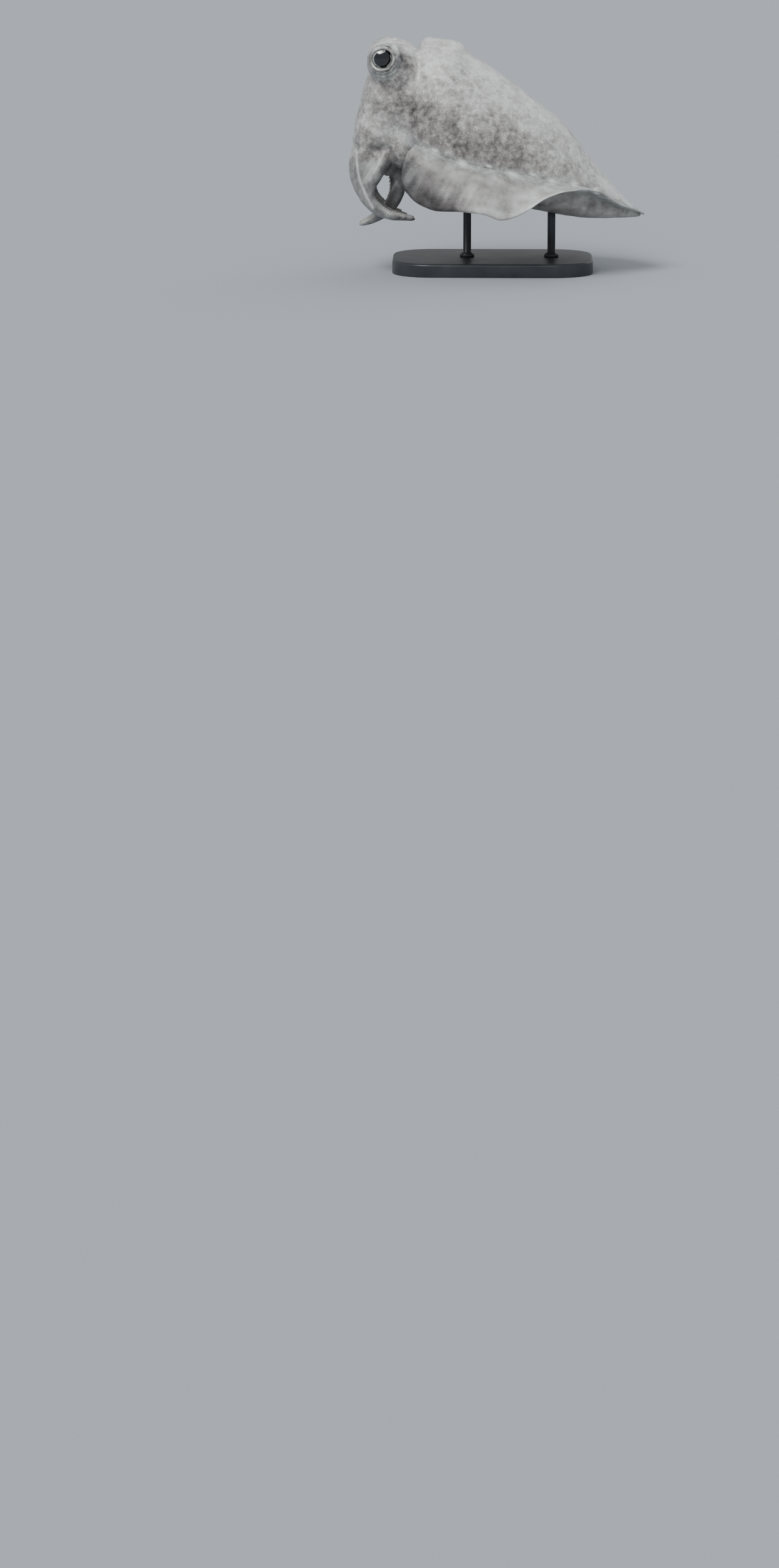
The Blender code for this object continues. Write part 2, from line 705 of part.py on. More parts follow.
def funnel_ring(share, shrink=1.0):
    """Oval ring of the funnel at a share of its course."""
    centre = smooth_path(FUNNEL_COURSE, share)
    ahead = smooth_path(FUNNEL_COURSE, min(1.0, share + PATH_STEP))
    behind = smooth_path(FUNNEL_COURSE, max(0.0, share - PATH_STEP))
    along = (ahead - behind) / np.linalg.norm(ahead - behind)
    shares = np.linspace(0.0, 1.0, len(FUNNEL_HALF_WIDTHS))
    half_width = np.interp(share, shares, FUNNEL_HALF_WIDTHS) * shrink
    half_depth = np.interp(share, shares, FUNNEL_HALF_DEPTHS) * shrink
    ring = []
    for j in range(FUNNEL_AROUND):
        angle = 2 * math.pi * j / FUNNEL_AROUND
        depth = half_depth * math.cos(angle)
        x = centre[0] - along[1] * depth
        z = centre[1] + along[0] * depth
        ring.append((x, half_width * math.sin(angle), z))
    return ring


def make_funnel(head):
    """Funnel below the head, open at its end."""
    rings = [funnel_ring(share) for share in np.linspace(0.0, 1.0, FUNNEL_RINGS)]
    rings.append(funnel_ring(1.0, FUNNEL_BORE))
    rings.append(funnel_ring(1.0 - FUNNEL_BORE_SHARE, FUNNEL_BORE * FUNNEL_BORE_TAPER))
    funnel = loft("funnel", rings)
    carve(funnel, head)
    return funnel


def make_base():
    """Flat stand base with rounded corners and a bevelled rim."""
    outline = []
    for quarter, (sx, sy) in enumerate(((1, 1), (-1, 1), (-1, -1), (1, -1))):
        for k in range(BASE_CORNER_STEPS):
            angle = math.pi / 2 * (quarter + k / (BASE_CORNER_STEPS - 1))
            x = BASE_X + sx * (BASE_LENGTH / 2 - BASE_CORNER) + BASE_CORNER * math.cos(angle)
            y = sy * (BASE_WIDTH / 2 - BASE_CORNER) + BASE_CORNER * math.sin(angle)
            outline.append((x, y))
    rings = []
    for height, inset in ((0.0, 0.0), (BASE_HEIGHT - BASE_BEVEL, 0.0), (BASE_HEIGHT, BASE_BEVEL)):
        scale_x = 1 - 2 * inset / BASE_LENGTH
        scale_y = 1 - 2 * inset / BASE_WIDTH
        rings.append([(BASE_X + (x - BASE_X) * scale_x, y * scale_y, height - LIFT_Z) for x, y in outline])
    return loft("stand_base", rings)


def make_rod(name, xi, mantle):
    """Upright rod from the base to the mantle's belly."""
    belly = value_along(BELLY_LINE, xi)
    top = body_point(xi, belly, 0.0)
    foot_z = BASE_HEIGHT + MEETING_GAP - LIFT_Z
    foot = (top[0], 0.0, foot_z)
    head = (top[0], 0.0, top[2] + ROD_SINK)
    rod = cone(name, foot, head, ROD_RADIUS, ROD_RADIUS, ROD_SIDES)
    carve(rod, mantle)
    return rod


def finish(thing, material):
    """Give a body its material and smooth shading on its round parts."""
    thing.data.materials.clear()
    thing.data.materials.append(material)
    thing.data.shade_smooth()
    thing.data.set_sharp_from_angle(angle=SMOOTH_ANGLE)


def build():
    """Model every part and give each its own material."""
    for thing in list(bpy.data.objects):
        bpy.data.objects.remove(thing)
    draw = random.Random(SUCKER_SEED)
    mantle = make_mantle()
    eyes = [make_eye("eye_left", -1), make_eye("eye_right", 1)]
    head = make_head(eyes)
    funnel = make_funnel(head)
    carve(mantle, head)
    carve(mantle, funnel)
    fins = [
        make_fin("fin_left", LEFT_EDGE_LEVEL, -1, mantle),
        make_fin("fin_right", RIGHT_EDGE_LEVEL, 1, mantle),
    ]
    arms = []
    for pair in ARM_COURSES:
        for side in (-1, 1):
            arms += make_arm(pair, side, draw)
    mouth = make_mouth()
    stand = [make_base(), make_rod("stand_rod_front", ROD_FRONT_XI, mantle)]
    stand.append(make_rod("stand_rod_rear", ROD_REAR_XI, mantle))

    for thing in [mantle, head] + arms:
        finish(thing, new_material("skin_" + thing.name, SKIN_COLOUR, 0.45))
    for thing in fins + [funnel]:
        finish(thing, new_material("fin_" + thing.name, FIN_COLOUR, 0.4))
    for thing in eyes:
        finish(thing, new_material("iris_" + thing.name, EYE_COLOUR, 0.08))
    finish(mouth, new_material("lips_mouth", LIP_COLOUR, 0.5))
    for thing in stand:
        finish(thing, new_material("paint_" + thing.name, STAND_COLOUR, 0.4))


build()
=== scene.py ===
"""Looks of the life-size common cuttlefish on its stand.

Shapes are worked out in millimetres in the animal's own frame and moved into the
object's frame when a mesh is made. The head points along -X, the animal's left
side faces -Y and +Z is up.
"""

import math

import bmesh
import bpy
import numpy as np
from mathutils import Matrix, Vector


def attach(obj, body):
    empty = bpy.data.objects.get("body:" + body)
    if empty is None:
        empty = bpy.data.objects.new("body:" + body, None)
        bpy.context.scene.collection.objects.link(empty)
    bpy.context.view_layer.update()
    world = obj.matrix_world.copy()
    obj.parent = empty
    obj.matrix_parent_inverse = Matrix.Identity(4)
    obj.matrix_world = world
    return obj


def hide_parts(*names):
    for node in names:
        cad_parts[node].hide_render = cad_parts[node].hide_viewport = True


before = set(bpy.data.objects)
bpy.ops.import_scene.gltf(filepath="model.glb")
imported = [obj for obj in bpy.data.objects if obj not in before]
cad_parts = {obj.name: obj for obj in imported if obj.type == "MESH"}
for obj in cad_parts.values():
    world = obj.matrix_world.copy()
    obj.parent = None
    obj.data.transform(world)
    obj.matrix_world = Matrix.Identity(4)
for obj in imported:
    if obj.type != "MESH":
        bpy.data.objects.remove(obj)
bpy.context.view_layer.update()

MM = 0.001
SHIFT = np.array((-1.05, 0.0, 104.0))

# Mantle, fins, head, arms and funnel, as in the solids
MANTLE_LENGTH = 200.0
MANTLE_PITCH = math.radians(24.0)
FRONT_EDGE = (-53.0, 70.0)
BACK_LINE = (
    (0, 0), (11, 3.0), (20, 5.8), (25.5, 5.6), (31, 2.6), (50, -0.9), (86, -8.5), (119, -17.5),
    (144, -30), (165, -41), (185, -50), (200, -55),
)
BELLY_LINE = (
    (0, -84), (38, -92), (62, -94), (85, -91), (110, -87),
    (135, -82), (160, -75), (182, -66), (200, -57),
)
HALF_WIDTH = (
    (0, 46), (30, 50.5), (65, 53), (95, 50), (125, 42.5),
    (155, 30), (180, 17.5), (192, 10), (200, 3),
)
WIDEST_LEVEL = 0.70
BACK_ROUNDNESS = 2.15
BELLY_ROUNDNESS = 2.4
BELLY_EDGE_SETBACK = 38.0
RIM_NARROWING = 0.13
RIM_REACH = 16.0

FIN_ROOT_LEVEL = ((10, -74), (50, -73), (94, -65), (124, -59), (156, -54), (185, -54), (206, -54.5))
LEFT_EDGE_LEVEL = (
    (26, -83), (31, -97), (40, -106.5), (54, -109), (73, -101.5), (90, -96), (104, -94),
    (116, -83), (126, -67.5), (138, -57), (160, -48.5), (179, -52), (196, -53), (206, -55),
)
RIGHT_EDGE_LEVEL = (
    (26, -84), (36, -96), (52, -100), (80, -88), (105, -80), (130, -77),
    (150, -68), (170, -57), (188, -54), (206, -55),
)
EDGE_REACH = (
    (26, 56), (31, 64), (40, 70), (54, 74), (73, 77), (104, 78), (126, 73),
    (140, 66), (160, 51), (180, 33), (196, 14), (206, 2),
)
FIN_START = 23.0
FIN_END = 202.3
FIN_ROOT_THICKNESS = 3.0
FIN_FLARE = 3.0
FIN_FLARE_REACH = 3.6
FIN_EDGE_THICKNESS = 0.9
FIN_ROOT_SINK = 5.0
FIN_FRONT_SINK = 5.0
FIN_FRONT_LEAD = 19.0
FIN_LEAD_FADE = 16.0
FIN_SINK_REACH = 12.0
FIN_BROAD_WAVE = (0.28, 0.34, 1.5, 0.09)
FIN_FINE_WAVE = (0.05, 1.3, 4.0)
FIN_ROUNDING_START = 0.9
FIN_ROUNDING_RATE = 7.5
FIN_LOBE = 15.0
FIN_CROWDING = 1.5
FIN_TAIL_ROUNDING = 11.0
FIN_TAIL_THINNING = 28.0
FIN_FRONT_THINNING = 11.0
FIN_MIDDLE_CLEARANCE = 0.4
FIN_LEAST_WIDTH = 1.0
FIN_BEND = (0.8, 0.12)
FIN_GRID = (260, 26)

HEAD_SECTIONS = (
    ((-38.0, 54.0), (-50.0, -28.0), 38.5),
    ((-54.0, 58.0), (-58.5, -30.0), 39.5),
    ((-66.0, 60.5), (-64.0, -25.0), 39.0),
    ((-80.0, 60.5), (-65.5, -16.0), 38.0),
    ((-92.5, 53.5), (-66.5, -10.0), 37.0),
    ((-99.0, 38.5), (-65.4, -4.6), 36.0),
    ((-103.0, 23.0), (-66.0, -5.8), 33.5),
    ((-107.0, 7.0), (-66.8, -8.0), 33.0),
    ((-109.6, -8.0), (-66.9, -9.5), 31.5),
)
HEAD_ROUNDNESS = 2.2
EYE_CENTRE = (-86.0, 30.0, 56.5)
EYE_RADIUS = 10.2
DOME_CENTRE = (-82.2, 24.5, 52.6)
DOME_RADII = (15.8, 16.5, 14.4)
DOME_POWER = 2.8
BROW_CENTRE = (-75.5, 19.0, 46.0)
BROW_RADII = (18.4, 20.0, 21.0)
CHEEK_CENTRE = (-71.5, 21.0, -9.0)
CHEEK_RADII = (10.0, 13.6, 18.0)

CROWN_X = -88.0
CROWN_Z = -8.0
CROWN_RING = (14.6, 22.6)
ARM_ROOT_RADIUS = 6.8
ARM_TIP_RADIUS = 1.9
ARM_TAPER_POWER = 1.9
RIGHT_ARMS_DROP = 4.0
MOUTH_SIDE_TARGET = (-89.0, 0.0, -28.0)
ARM_COURSES = {
    1: ((-105.0, 7.3, -22), (-104.3, 7.8, -35), (-100, 9.2, -45.5), (-92.5, 13, -54), (-82, 15.4, -60),
        (-71, 15.6, -63), (-61.5, 15.0, -64)),
    2: ((-99.6, 20.6, -18), (-102.0, 21.0, -30), (-101, 21.8, -41), (-95.5, 23.4, -51), (-87, 24.6, -58),
        (-77, 24.4, -61.5), (-67, 24, -62.5)),
    3: ((-85.3, 25.5, -19), (-91.8, 31.3, -30), (-96.8, 33.2, -40), (-95.0, 34.0, -49), (-88, 34.4, -56),
        (-79.5, 34.2, -60), (-71, 33.5, -61)),
    4: ((-75.0, 7.3, -19), (-74.8, 7.3, -32), (-75.2, 7.1, -44), (-79.5, 6.4, -54), (-87, 5.6, -61.5),
        (-95.5, 5.2, -66.5), (-105, 4.6, -70)),
}
ARM_SINK = 6.0
FUNNEL_COURSE = ((-44, -13), (-52, -17.5), (-56.6, -26), (-58.8, -35), (-59.8, -43))
FUNNEL_HALF_WIDTHS = (15.0, 13.0, 10.0, 7.4, 6.2)
FUNNEL_HALF_DEPTHS = (7.0, 6.2, 5.6, 5.2, 5.0)
MOUTH_RADII = (6.4, 14.0)

CROWN_STEPS = 721
ARM_STEP = 0.006
ARM_ROUNDING_START = 0.955
ARM_TIP_LOSS = 0.97

# Height and width, in radians round the arm, of its flat mouth side, its ridges and its keel
ARM_FLAT = (0.16, 0.55)
ARM_RIDGE = (0.11, 0.17)
ARM_RIDGE_ANGLE = 0.86
ARM_KEEL = (0.07, 0.30)

# Order of the arms round the mouth, and length share and thickness of the web after each one
ARM_ORDER = [(1, -1), (2, -1), (3, -1), (4, -1), (4, 1), (3, 1), (2, 1), (1, 1)]
WEBS = [
    (0.38, 4.2), (0.52, 4.2), (0.40, 5.6), (0.30, 4.0), (0.40, 5.6), (0.52, 4.2), (0.38, 4.2), (0.36, 4.0),
]
WEB_FADE_POWER = 2.5
WEB_FULL_WIDTH = 1.4

# Shares and shrinking of the funnel's end, where its rings turn back inside as a bore
FUNNEL_BORE_SHARES = (1.0, 0.97, 0.9, 0.8, 0.62)
FUNNEL_END_SHRINK = (0.99, 0.93, 0.74, 0.62, 0.55, 0.5, 0.42)
FUNNEL_STEP = 0.01

# Rounded front rim of the mantle: share of its size, push along the mantle and drop of the back
FRONT_RIM = (
    (0.70, 9.0, 10.0), (0.86, -0.8, 9.5), (0.90, -3.3, 7.5), (0.945, -3.2, 4.0), (0.97, -2.2, 2.0),
    (0.985, -1.1, 0.8), (0.995, -0.3, 0.1),
)
BACK_HALF_FADE = (-0.25, 0.75)

# Rings and corners of each source shape, and how far the rings crowd at the ends
MANTLE_GRID = (170, 180)
MANTLE_CROWDING = 0.07
HEAD_GRID = (120, 150)
BALL_GRID = (50, 90)
ARM_GRID = (110, 40)
WEB_GRID = (30, 32)
FUNNEL_GRID = (40, 60)

# Balls on each side of the head: centre, radii and how squared off they are
HEAD_BALLS = (
    (DOME_CENTRE, DOME_RADII, DOME_POWER),
    (BROW_CENTRE, BROW_RADII, 2.0),
    (CHEEK_CENTRE, CHEEK_RADII, 2.0),
)

# Fused skin
VOXEL = 0.95
SKIN_TRIANGLES = 124000
EVEN_ROUNDS = 6
JOINT_ROUNDS = 30

# Lids, sockets, papillae and even rings round the eyes, the rings as height, distance and width
LID_SHELL = 1.5
LID_BLEND = 1.6
EYE_SNAP = (11.0, 14.5)
SOCKET_RADIUS = 9.0
SOCKET_DEPTH = 2.6
LID_GRID = (160, 24)
LID_OPENING = 8.9
LID_HALF_WIDTH = 1.2
LID_SINK = 0.15
EYE_RINGS = ((0.75, 10.4, 1.2), (-0.35, 11.8, 0.6))

# Height, distance, width, waviness, upper or lower side, lean and fading of each fold
EYE_FOLDS = (
    (0.75, 13.0, 1.0, 1.0, 1, 0.3, (-0.4, 0.5)),
    (0.65, 13.0, 0.9, -1.0, -1, -0.2, (0.2, 0.9)),
    (0.45, 16.6, 1.1, 2.0, -1, -0.5, (-0.2, 0.8)),
)
DOME_PAPILLAE = ((-26, 0.8), (4, 1.1), (34, 0.8))
PAPILLAE_OUTWARD = 4.0
PAPILLA_WIDTH = 1.3

# Marks along the fin's base: place, lift, half length and half width
FIN_BASE_MARKS = (
    (38.0, 1.0, 2.6, 1.3), (60.5, -1.0, 3.6, 1.9), (79.0, 1.5, 2.4, 1.0), (97.5, -0.5, 5.2, 1.5),
    (112.0, 1.8, 2.6, 0.9), (126.5, 0.6, 3.4, 1.1), (143.0, 1.0, 2.4, 0.9), (160.0, 1.2, 2.2, 0.8),
)
MARKS_LIFT = 2.2
MARKS_SLANT = 0.10
MARKS_HEIGHT = 0.7

# Random relief of the skin: height, size and seed
BROAD_RELIEF = 0.40
FINE_RELIEF = ((0.20, 5.0, 4), (0.09, 2.2, 5))

# Lines of the side view that the skin's tones follow
LOOK_SINE = math.sin(math.radians(5.5))
FLANK_BAND = ((-68, 14), (-50, 4), (-31, -6), (-11, -14), (6, -19))
REAR_BAND = ((6, -19), (24, -22), (40, -26))
# Painted shade: a dark wedge from the arms' roots to the fins' front corners, where shade falls between
# them.
SHADED_WEDGE = ((-98, -17), (-84, -19), (-73, -29), (-63, -44), (-50, -55), (-34, -60))
FIN_BRIGHT = ((16, -54), (38, -42), (58, -40), (78, -42))
UNDER_EYE = ((-95, 36), (-84, 38), (-72, 30), (-66, 20))
CHEEK_PALE = ((-100, 4), (-86, 6), (-72, -2), (-60, -10))
PALE_LINE = ((-47.7, 52.3), (-43, 45), (-33.6, 34.1))
ARM_EDGE = ((-106, -13.6), (-105, -26), (-103, -37), (-98.5, -47), (-93.2, -57))
REAR_ARM_EDGE = ((-76, -38.6), (-80, -45), (-84, -51))
UPPER_SMUDGES = ((-2, 6, 5.0), (9, -2, 6.0), (24, -4, 5.0), (-22, 16, 4.5), (-45, 22, 6.0))

# Change of tone and width along lines of the flank, then also clumping and least distance from the middle
FLANK_LINES = ((FLANK_BAND, -0.20, 13.0), (REAR_BAND, -0.05, 9.0))
HEAD_LINES = ((UNDER_EYE, -0.08, 6.5, 1, 15), (CHEEK_PALE, 0.09, 10.0, 1, -1), (PALE_LINE, 0.16, 1.4, 0, 10))
TONE_BASE = 0.60
SMUDGE_DEPTH = 0.12
WEDGE_WIDTH_FIN = 10.5
WEDGE_WIDTH_SKIN = 8.0
FIN_BRIGHT_WIDTH = 7.0
# Upward part of the normal over which fin skin turns into underside: darker there, partly painted shade and
# partly pigment, and less mottled.
UNDERSIDE = (0.1, -0.3)

# Painted shade by the eye, in a recess and in a crease between the lid folds: forward, upward, half length,
# half height and depth
EYE_SHADES = ((13.6, 2.0, 4.4, 8.6, 0.36), (5.8, 8.8, 1.6, 1.6, 0.5))
LID_SHADE = 0.22
LID_SHADE_RADIUS = 9.3
LID_SHADE_WIDTH = 1.4

# White parts of the lids: share, middle and width in degrees round the eye
LID_WHITES = ((0.8, 130, 36), (0.75, -132, 22), (0.5, 2, 16))

# Suckers: staggered columns in degrees, and profile as height and width for a size of one
SUCKER_STATIONS = 62
SUCKER_SIDES = 9
SUCKER_SEED = 11
SUCKER_START = 0.075
SUCKER_RUN = 0.90
SUCKER_CROWDING = 1.35
SUCKER_COLUMNS = ((-34.0, 12.0), (-12.0, 34.0))
SUCKER_LEAN = 0.55
SUCKER_TO_ARM = 0.165
SUCKER_SPREAD = (0.9, 1.1)
SUCKER_SINK = 0.25
SUCKER_PROFILE = ((-0.5, 0.55), (0.55, 0.62), (0.95, 1.0), (1.35, 0.94), (1.30, 0.66), (0.75, 0.42))

# Eyeball and its pupil: ovals as forward, upward, half length and half height
EYE_GRID = (110, 150)
EYE_CROWDING = 1.25
PUPIL_OVALS = ((0.0, -0.1, 6.3, 5.7), (4.2, 4.6, 2.1, 3.0), (0.8, -4.6, 3.0, 2.2))
PUPIL_NOTCH = (-1.6, 7.0, 4.2, 3.0)
PUPIL_EDGE = (0.96, 1.04)

# Lips as size, lowering, thickness, wrinkles and their depth; jaws of the beak as way and length
LIP_GRID = (180, 26)
LIPS = ((0.92, -1.5, 2.6, 22, 0.35), (0.62, -4.6, 1.9, 34, 0.28))
LIP_FLATNESS = 0.55
LIP_HEIGHT = 1.1
BEAK_GRID = (24, 30)
BEAK_JAWS = ((1, 6.5), (-1, 5.0))
BEAK_DEPTH = 3.0

# Stand: base with its foot and top as height and inset, rods as distance along the mantle
BASE_SIZE = (150.0, 100.0, 10.0)
BASE_CORNER = 30.0
BASE_X = -4.0
BASE_RIM = 2.0
BASE_FOOT = ((0.0, 0.6), (0.4, 0.15), (0.9, 0.0))
BASE_TOP_INSETS = (8.0, 24.0)
ROD_STATIONS = (("rod_front", 74.0), ("rod_rear", 138.0))
ROD_SIDES = 64
ROD_RADIUS = 3.0
ROD_COLLAR = ((-1.5, 2.9), (0.3, 5.4), (1.2, 5.6), (2.2, 5.2), (3.0, 4.0), (3.6, ROD_RADIUS))
ROD_ENDS = (-5.0, 6.0)

# Colours and finishes
SKIN_STOPS = (
    (0.0, (0.032, 0.029, 0.030)), (0.22, (0.105, 0.094, 0.093)), (0.42, (0.225, 0.208, 0.200)),
    (0.62, (0.400, 0.388, 0.366)), (0.82, (0.610, 0.610, 0.585)), (1.0, (0.800, 0.812, 0.795)),
)
SPECK_COLOUR = (0.130, 0.095, 0.085)
GLEAM_COLOUR = (0.30, 0.50, 0.53)
WHITE_COLOUR = (0.88, 0.90, 0.88)
IRIS_STOPS = ((0.0, (0.30, 0.32, 0.30)), (0.35, (0.62, 0.66, 0.62)), (0.8, (0.90, 0.92, 0.88)))
PUPIL_COLOUR = (0.004, 0.005, 0.008)
PAINT_STOPS = ((0.3, (0.040, 0.043, 0.048)), (0.7, (0.060, 0.064, 0.070)))
FLOOR_COLOUR = (0.45, 0.48, 0.52)

# Plain flesh: name, dark and light colour, roughness and height of its bump in metres
SUCKER_FLESH = ("sucker_flesh", (0.55, 0.52, 0.50), (0.78, 0.76, 0.72), 0.35, 0.0001)
LIP_FLESH = ("lip_flesh", (0.42, 0.28, 0.26), (0.66, 0.50, 0.46), 0.38, 0.0002)
BEAK_HORN = ("beak_horn", (0.012, 0.008, 0.006), (0.05, 0.03, 0.02), 0.22, 0.00005)

# Nodes of flesh that the skin stands for
FLESH_NODES = ["mantle", "head", "fin_left", "fin_right", "funnel"] + [
    f"arm{pair}_{label}_{length}"
    for pair in ARM_COURSES for label in ("left", "right") for length in ("upper", "tip")
]

# Floor, sky, lights as name, place, spread and power, and camera
FLOOR_HALF = 80.0
SKY_COLOUR = (0.90, 0.93, 0.97)
SKY_STRENGTH = 0.42
SUNS = (
    ("key", (-1.0, -1.5, 2.2), 0.5, 2.0),
    ("fill", (-0.5, -2.0, 0.45), 0.9, 0.7),
    ("rim", (0.9, 1.6, 1.7), 0.9, 0.6),
)
CAMERA_DISTANCE = 4.0
CAMERA_RISE = math.radians(5.5)
FRAME_SIZE = (1280.0, 2576.0)
SUBJECT_PIXEL = (820.0, 215.0)
PIXELS_PER_METRE = 2200.0
SUBJECT_POINT = (-0.001, 0.0, 0.104)
FOCAL_ROUNDS = 4
SENSOR_WIDTH = 36.0
CLIP_END = 60.0


def value_along(table, at):
    """Cubic through the table's values, its slopes taken from the neighbours, for an array of places."""
    xs, ys = np.array(table, float).T
    slopes = np.gradient(ys, xs)
    place = np.clip(at, xs[0], xs[-1])
    i = np.clip(np.searchsorted(xs, place) - 1, 0, len(xs) - 2)
    span = xs[i + 1] - xs[i]
    t = (place - xs[i]) / span
    rising = 3 * t * t - 2 * t * t * t
    return (
        ys[i] * (1 - rising) + ys[i + 1] * rising
        + slopes[i] * span * t * (1 - t) ** 2
        - slopes[i + 1] * span * t * t * (1 - t)
    )


def smooth_step(low, high, value):
    """0 below the low value, 1 above the high one, and an even S-shaped rise between them."""
    t = np.clip((value - low) / (high - low), 0.0, 1.0)
    return t * t * (3 - 2 * t)


def hump(distance, width):
    """Bell-shaped hump: e to the minus of the squared distance over the squared width."""
    return np.exp(-((distance / width) ** 2))


def full_turn(count, start=0.0):
    """Even angles round a full circle, the last one a step short of the first."""
    return np.linspace(start, start + 2 * math.pi, count, endpoint=False)


def soft_noise(points, size, seed):
    """Smooth random value from -1 to 1: random numbers on a lattice, blended between eight corners."""
    numbers = np.random.default_rng(seed).uniform(-1, 1, 8192)
    place = points / size
    cell = np.floor(place).astype(np.int64)
    t = place - cell
    t = t * t * (3 - 2 * t)
    total = 0.0
    for corner in np.ndindex(2, 2, 2):
        lattice = cell + np.array(corner)
        key = (lattice[:, 0] * 73856093) ^ (lattice[:, 1] * 19349663) ^ (lattice[:, 2] * 83492791)
        weight = np.prod(np.where(corner, t, 1 - t), axis=1)
        total = total + weight * numbers[key % len(numbers)]
    return total


def unit(vectors):
    """Vectors of length one along the given ones."""
    return vectors / np.maximum(np.linalg.norm(vectors, axis=-1, keepdims=True), 1e-9)


def along_course(course, share):
    """Places on a smooth line through several points, at shares of its length."""
    lengths = np.linalg.norm(np.diff(course, axis=0), axis=1)
    places = np.concatenate(([0.0], np.cumsum(lengths)))
    at = share * places[-1]
    return np.stack([value_along(np.column_stack((places, column)), at) for column in course.T], -1)


def course_direction(course, share, step):
    """Direction of the line at shares of its length, from the places a step ahead and a step behind."""
    ahead = along_course(course, np.minimum(share + step, 1))
    return unit(ahead - along_course(course, np.maximum(share - step, 0)))


def signed_power(value, roundness):
    """Signed power 2 / roundness, which squares off an ellipse's sine or cosine."""
    return np.sign(value) * np.abs(value) ** (2.0 / roundness)


def body_point(xi, eta, y):
    """Place on the mantle's tilted axes turned into upright axes by the mantle's pitch."""
    c, s = math.cos(MANTLE_PITCH), math.sin(MANTLE_PITCH)
    x = FRONT_EDGE[0] + xi * c + eta * s
    z = FRONT_EDGE[1] - xi * s + eta * c
    return np.stack(np.broadcast_arrays(x, y, z), axis=-1)


def mantle_axes(points):
    """Upright places turned back onto the mantle's axes, as distance along and height."""
    c, s = math.cos(MANTLE_PITCH), math.sin(MANTLE_PITCH)
    x = points[..., 0] - FRONT_EDGE[0]
    z = points[..., 2] - FRONT_EDGE[1]
    return x * c - z * s, x * s + z * c


def grid_faces(rows, columns, rows_closed=False):
    """Four-sided faces of a grid that is closed round its columns, and round its rows too if told so."""
    last = rows if rows_closed else rows - 1
    i, j = np.meshgrid(np.arange(last), np.arange(columns), indexing="ij")
    k = (j + 1) % columns
    here, above = i * columns, (i + 1) % rows * columns
    return np.stack((here + j, here + k, above + k, above + j), axis=-1).reshape(-1, 4)


def closed_tube(rings):
    """Points and faces of a tube of rings, each end closed by a fan of triangles to its middle."""
    rows, columns = rings.shape[:2]
    points = rings.reshape(-1, 3)
    ends = np.array((rings[0].mean(axis=0), rings[-1].mean(axis=0)))
    quads = grid_faces(rows, columns)
    j = np.arange(columns)
    k = (j + 1) % columns
    first = np.full(columns, len(points))
    last = (rows - 1) * columns
    fans = np.concatenate((
        np.stack((first, k, j, j), axis=-1),
        np.stack((first + 1, last + j, last + k, last + k), axis=-1),
    ))
    return np.concatenate((points, ends)), np.concatenate((quads, fans))


def joined(parts):
    """Several (points, faces) shapes as one, the face numbers moved on by the points before them."""
    points, faces, count = [], [], 0
    for part_points, part_faces in parts:
        points.append(part_points)
        faces.append(part_faces + count)
        count += len(part_points)
    return np.concatenate(points), np.concatenate(faces)


def set_places(mesh, points):
    """Give a mesh's corners their places, from millimetres in the animal's frame."""
    mesh.vertices.foreach_set("co", ((points + SHIFT) * MM).astype(np.float32).ravel())


def make_mesh(name, points, faces):
    """Smooth mesh from whole arrays, faces turned outward; a face that names a point twice is a triangle."""
    mesh = bpy.data.meshes.new(name)
    triangle = faces[:, 2] == faces[:, 3]
    sizes = np.where(triangle, 3, 4)
    keep = np.ones(faces.shape, bool)
    keep[triangle, 3] = False
    corners = faces[keep]
    mesh.vertices.add(len(points))
    set_places(mesh, points)
    mesh.loops.add(len(corners))
    mesh.loops.foreach_set("vertex_index", corners.astype(np.int32))
    mesh.polygons.add(len(faces))
    starts = np.concatenate(([0], np.cumsum(sizes)[:-1]))
    mesh.polygons.foreach_set("loop_start", starts.astype(np.int32))
    mesh.update(calc_edges=True)
    mesh.validate()
    mesh.shade_smooth()
    turn_outward(mesh)
    return mesh


def turn_outward(mesh):
    """Turn every face of a closed mesh outward."""
    bm = bmesh.new()
    bm.from_mesh(mesh)
    bmesh.ops.recalc_face_normals(bm, faces=bm.faces)
    bm.to_mesh(mesh)
    bm.free()


def make_piece(name, mesh, material):
    """Object that carries a mesh and its material."""
    piece = bpy.data.objects.new(name, mesh)
    bpy.context.scene.collection.objects.link(piece)
    mesh.materials.clear()
    mesh.materials.append(material)
    return piece


def read_vectors(items, name):
    """Three numbers of every item of a mesh, as an array."""
    flat = np.empty(len(items) * 3, np.float32)
    items.foreach_get(name, flat)
    return flat.reshape(-1, 3).astype(float)


def points_of(mesh):
    """Corner places of a mesh in millimetres in the animal's frame."""
    return read_vectors(mesh.vertices, "co") / MM - SHIFT


def normals_of(mesh):
    """Outward direction at each corner of a mesh."""
    return read_vectors(mesh.vertex_normals, "vector")


def place_points(mesh, points):
    """Move a mesh's corners to new places in millimetres."""
    set_places(mesh, points)
    mesh.update()


def evaluated_mesh(piece):
    """Mesh of an object with its modifiers applied."""
    bpy.context.view_layer.update()
    graph = bpy.context.evaluated_depsgraph_get()
    return bpy.data.meshes.new_from_object(piece.evaluated_get(graph))


# Source shapes of the fused skin


def mantle_section(xi):
    """Back level, belly level, widest level and half width of the mantle at xi."""
    back = value_along(BACK_LINE, xi)
    belly = value_along(BELLY_LINE, xi)
    half = value_along(HALF_WIDTH, xi)
    return back, belly, back - WIDEST_LEVEL * (back - belly), half


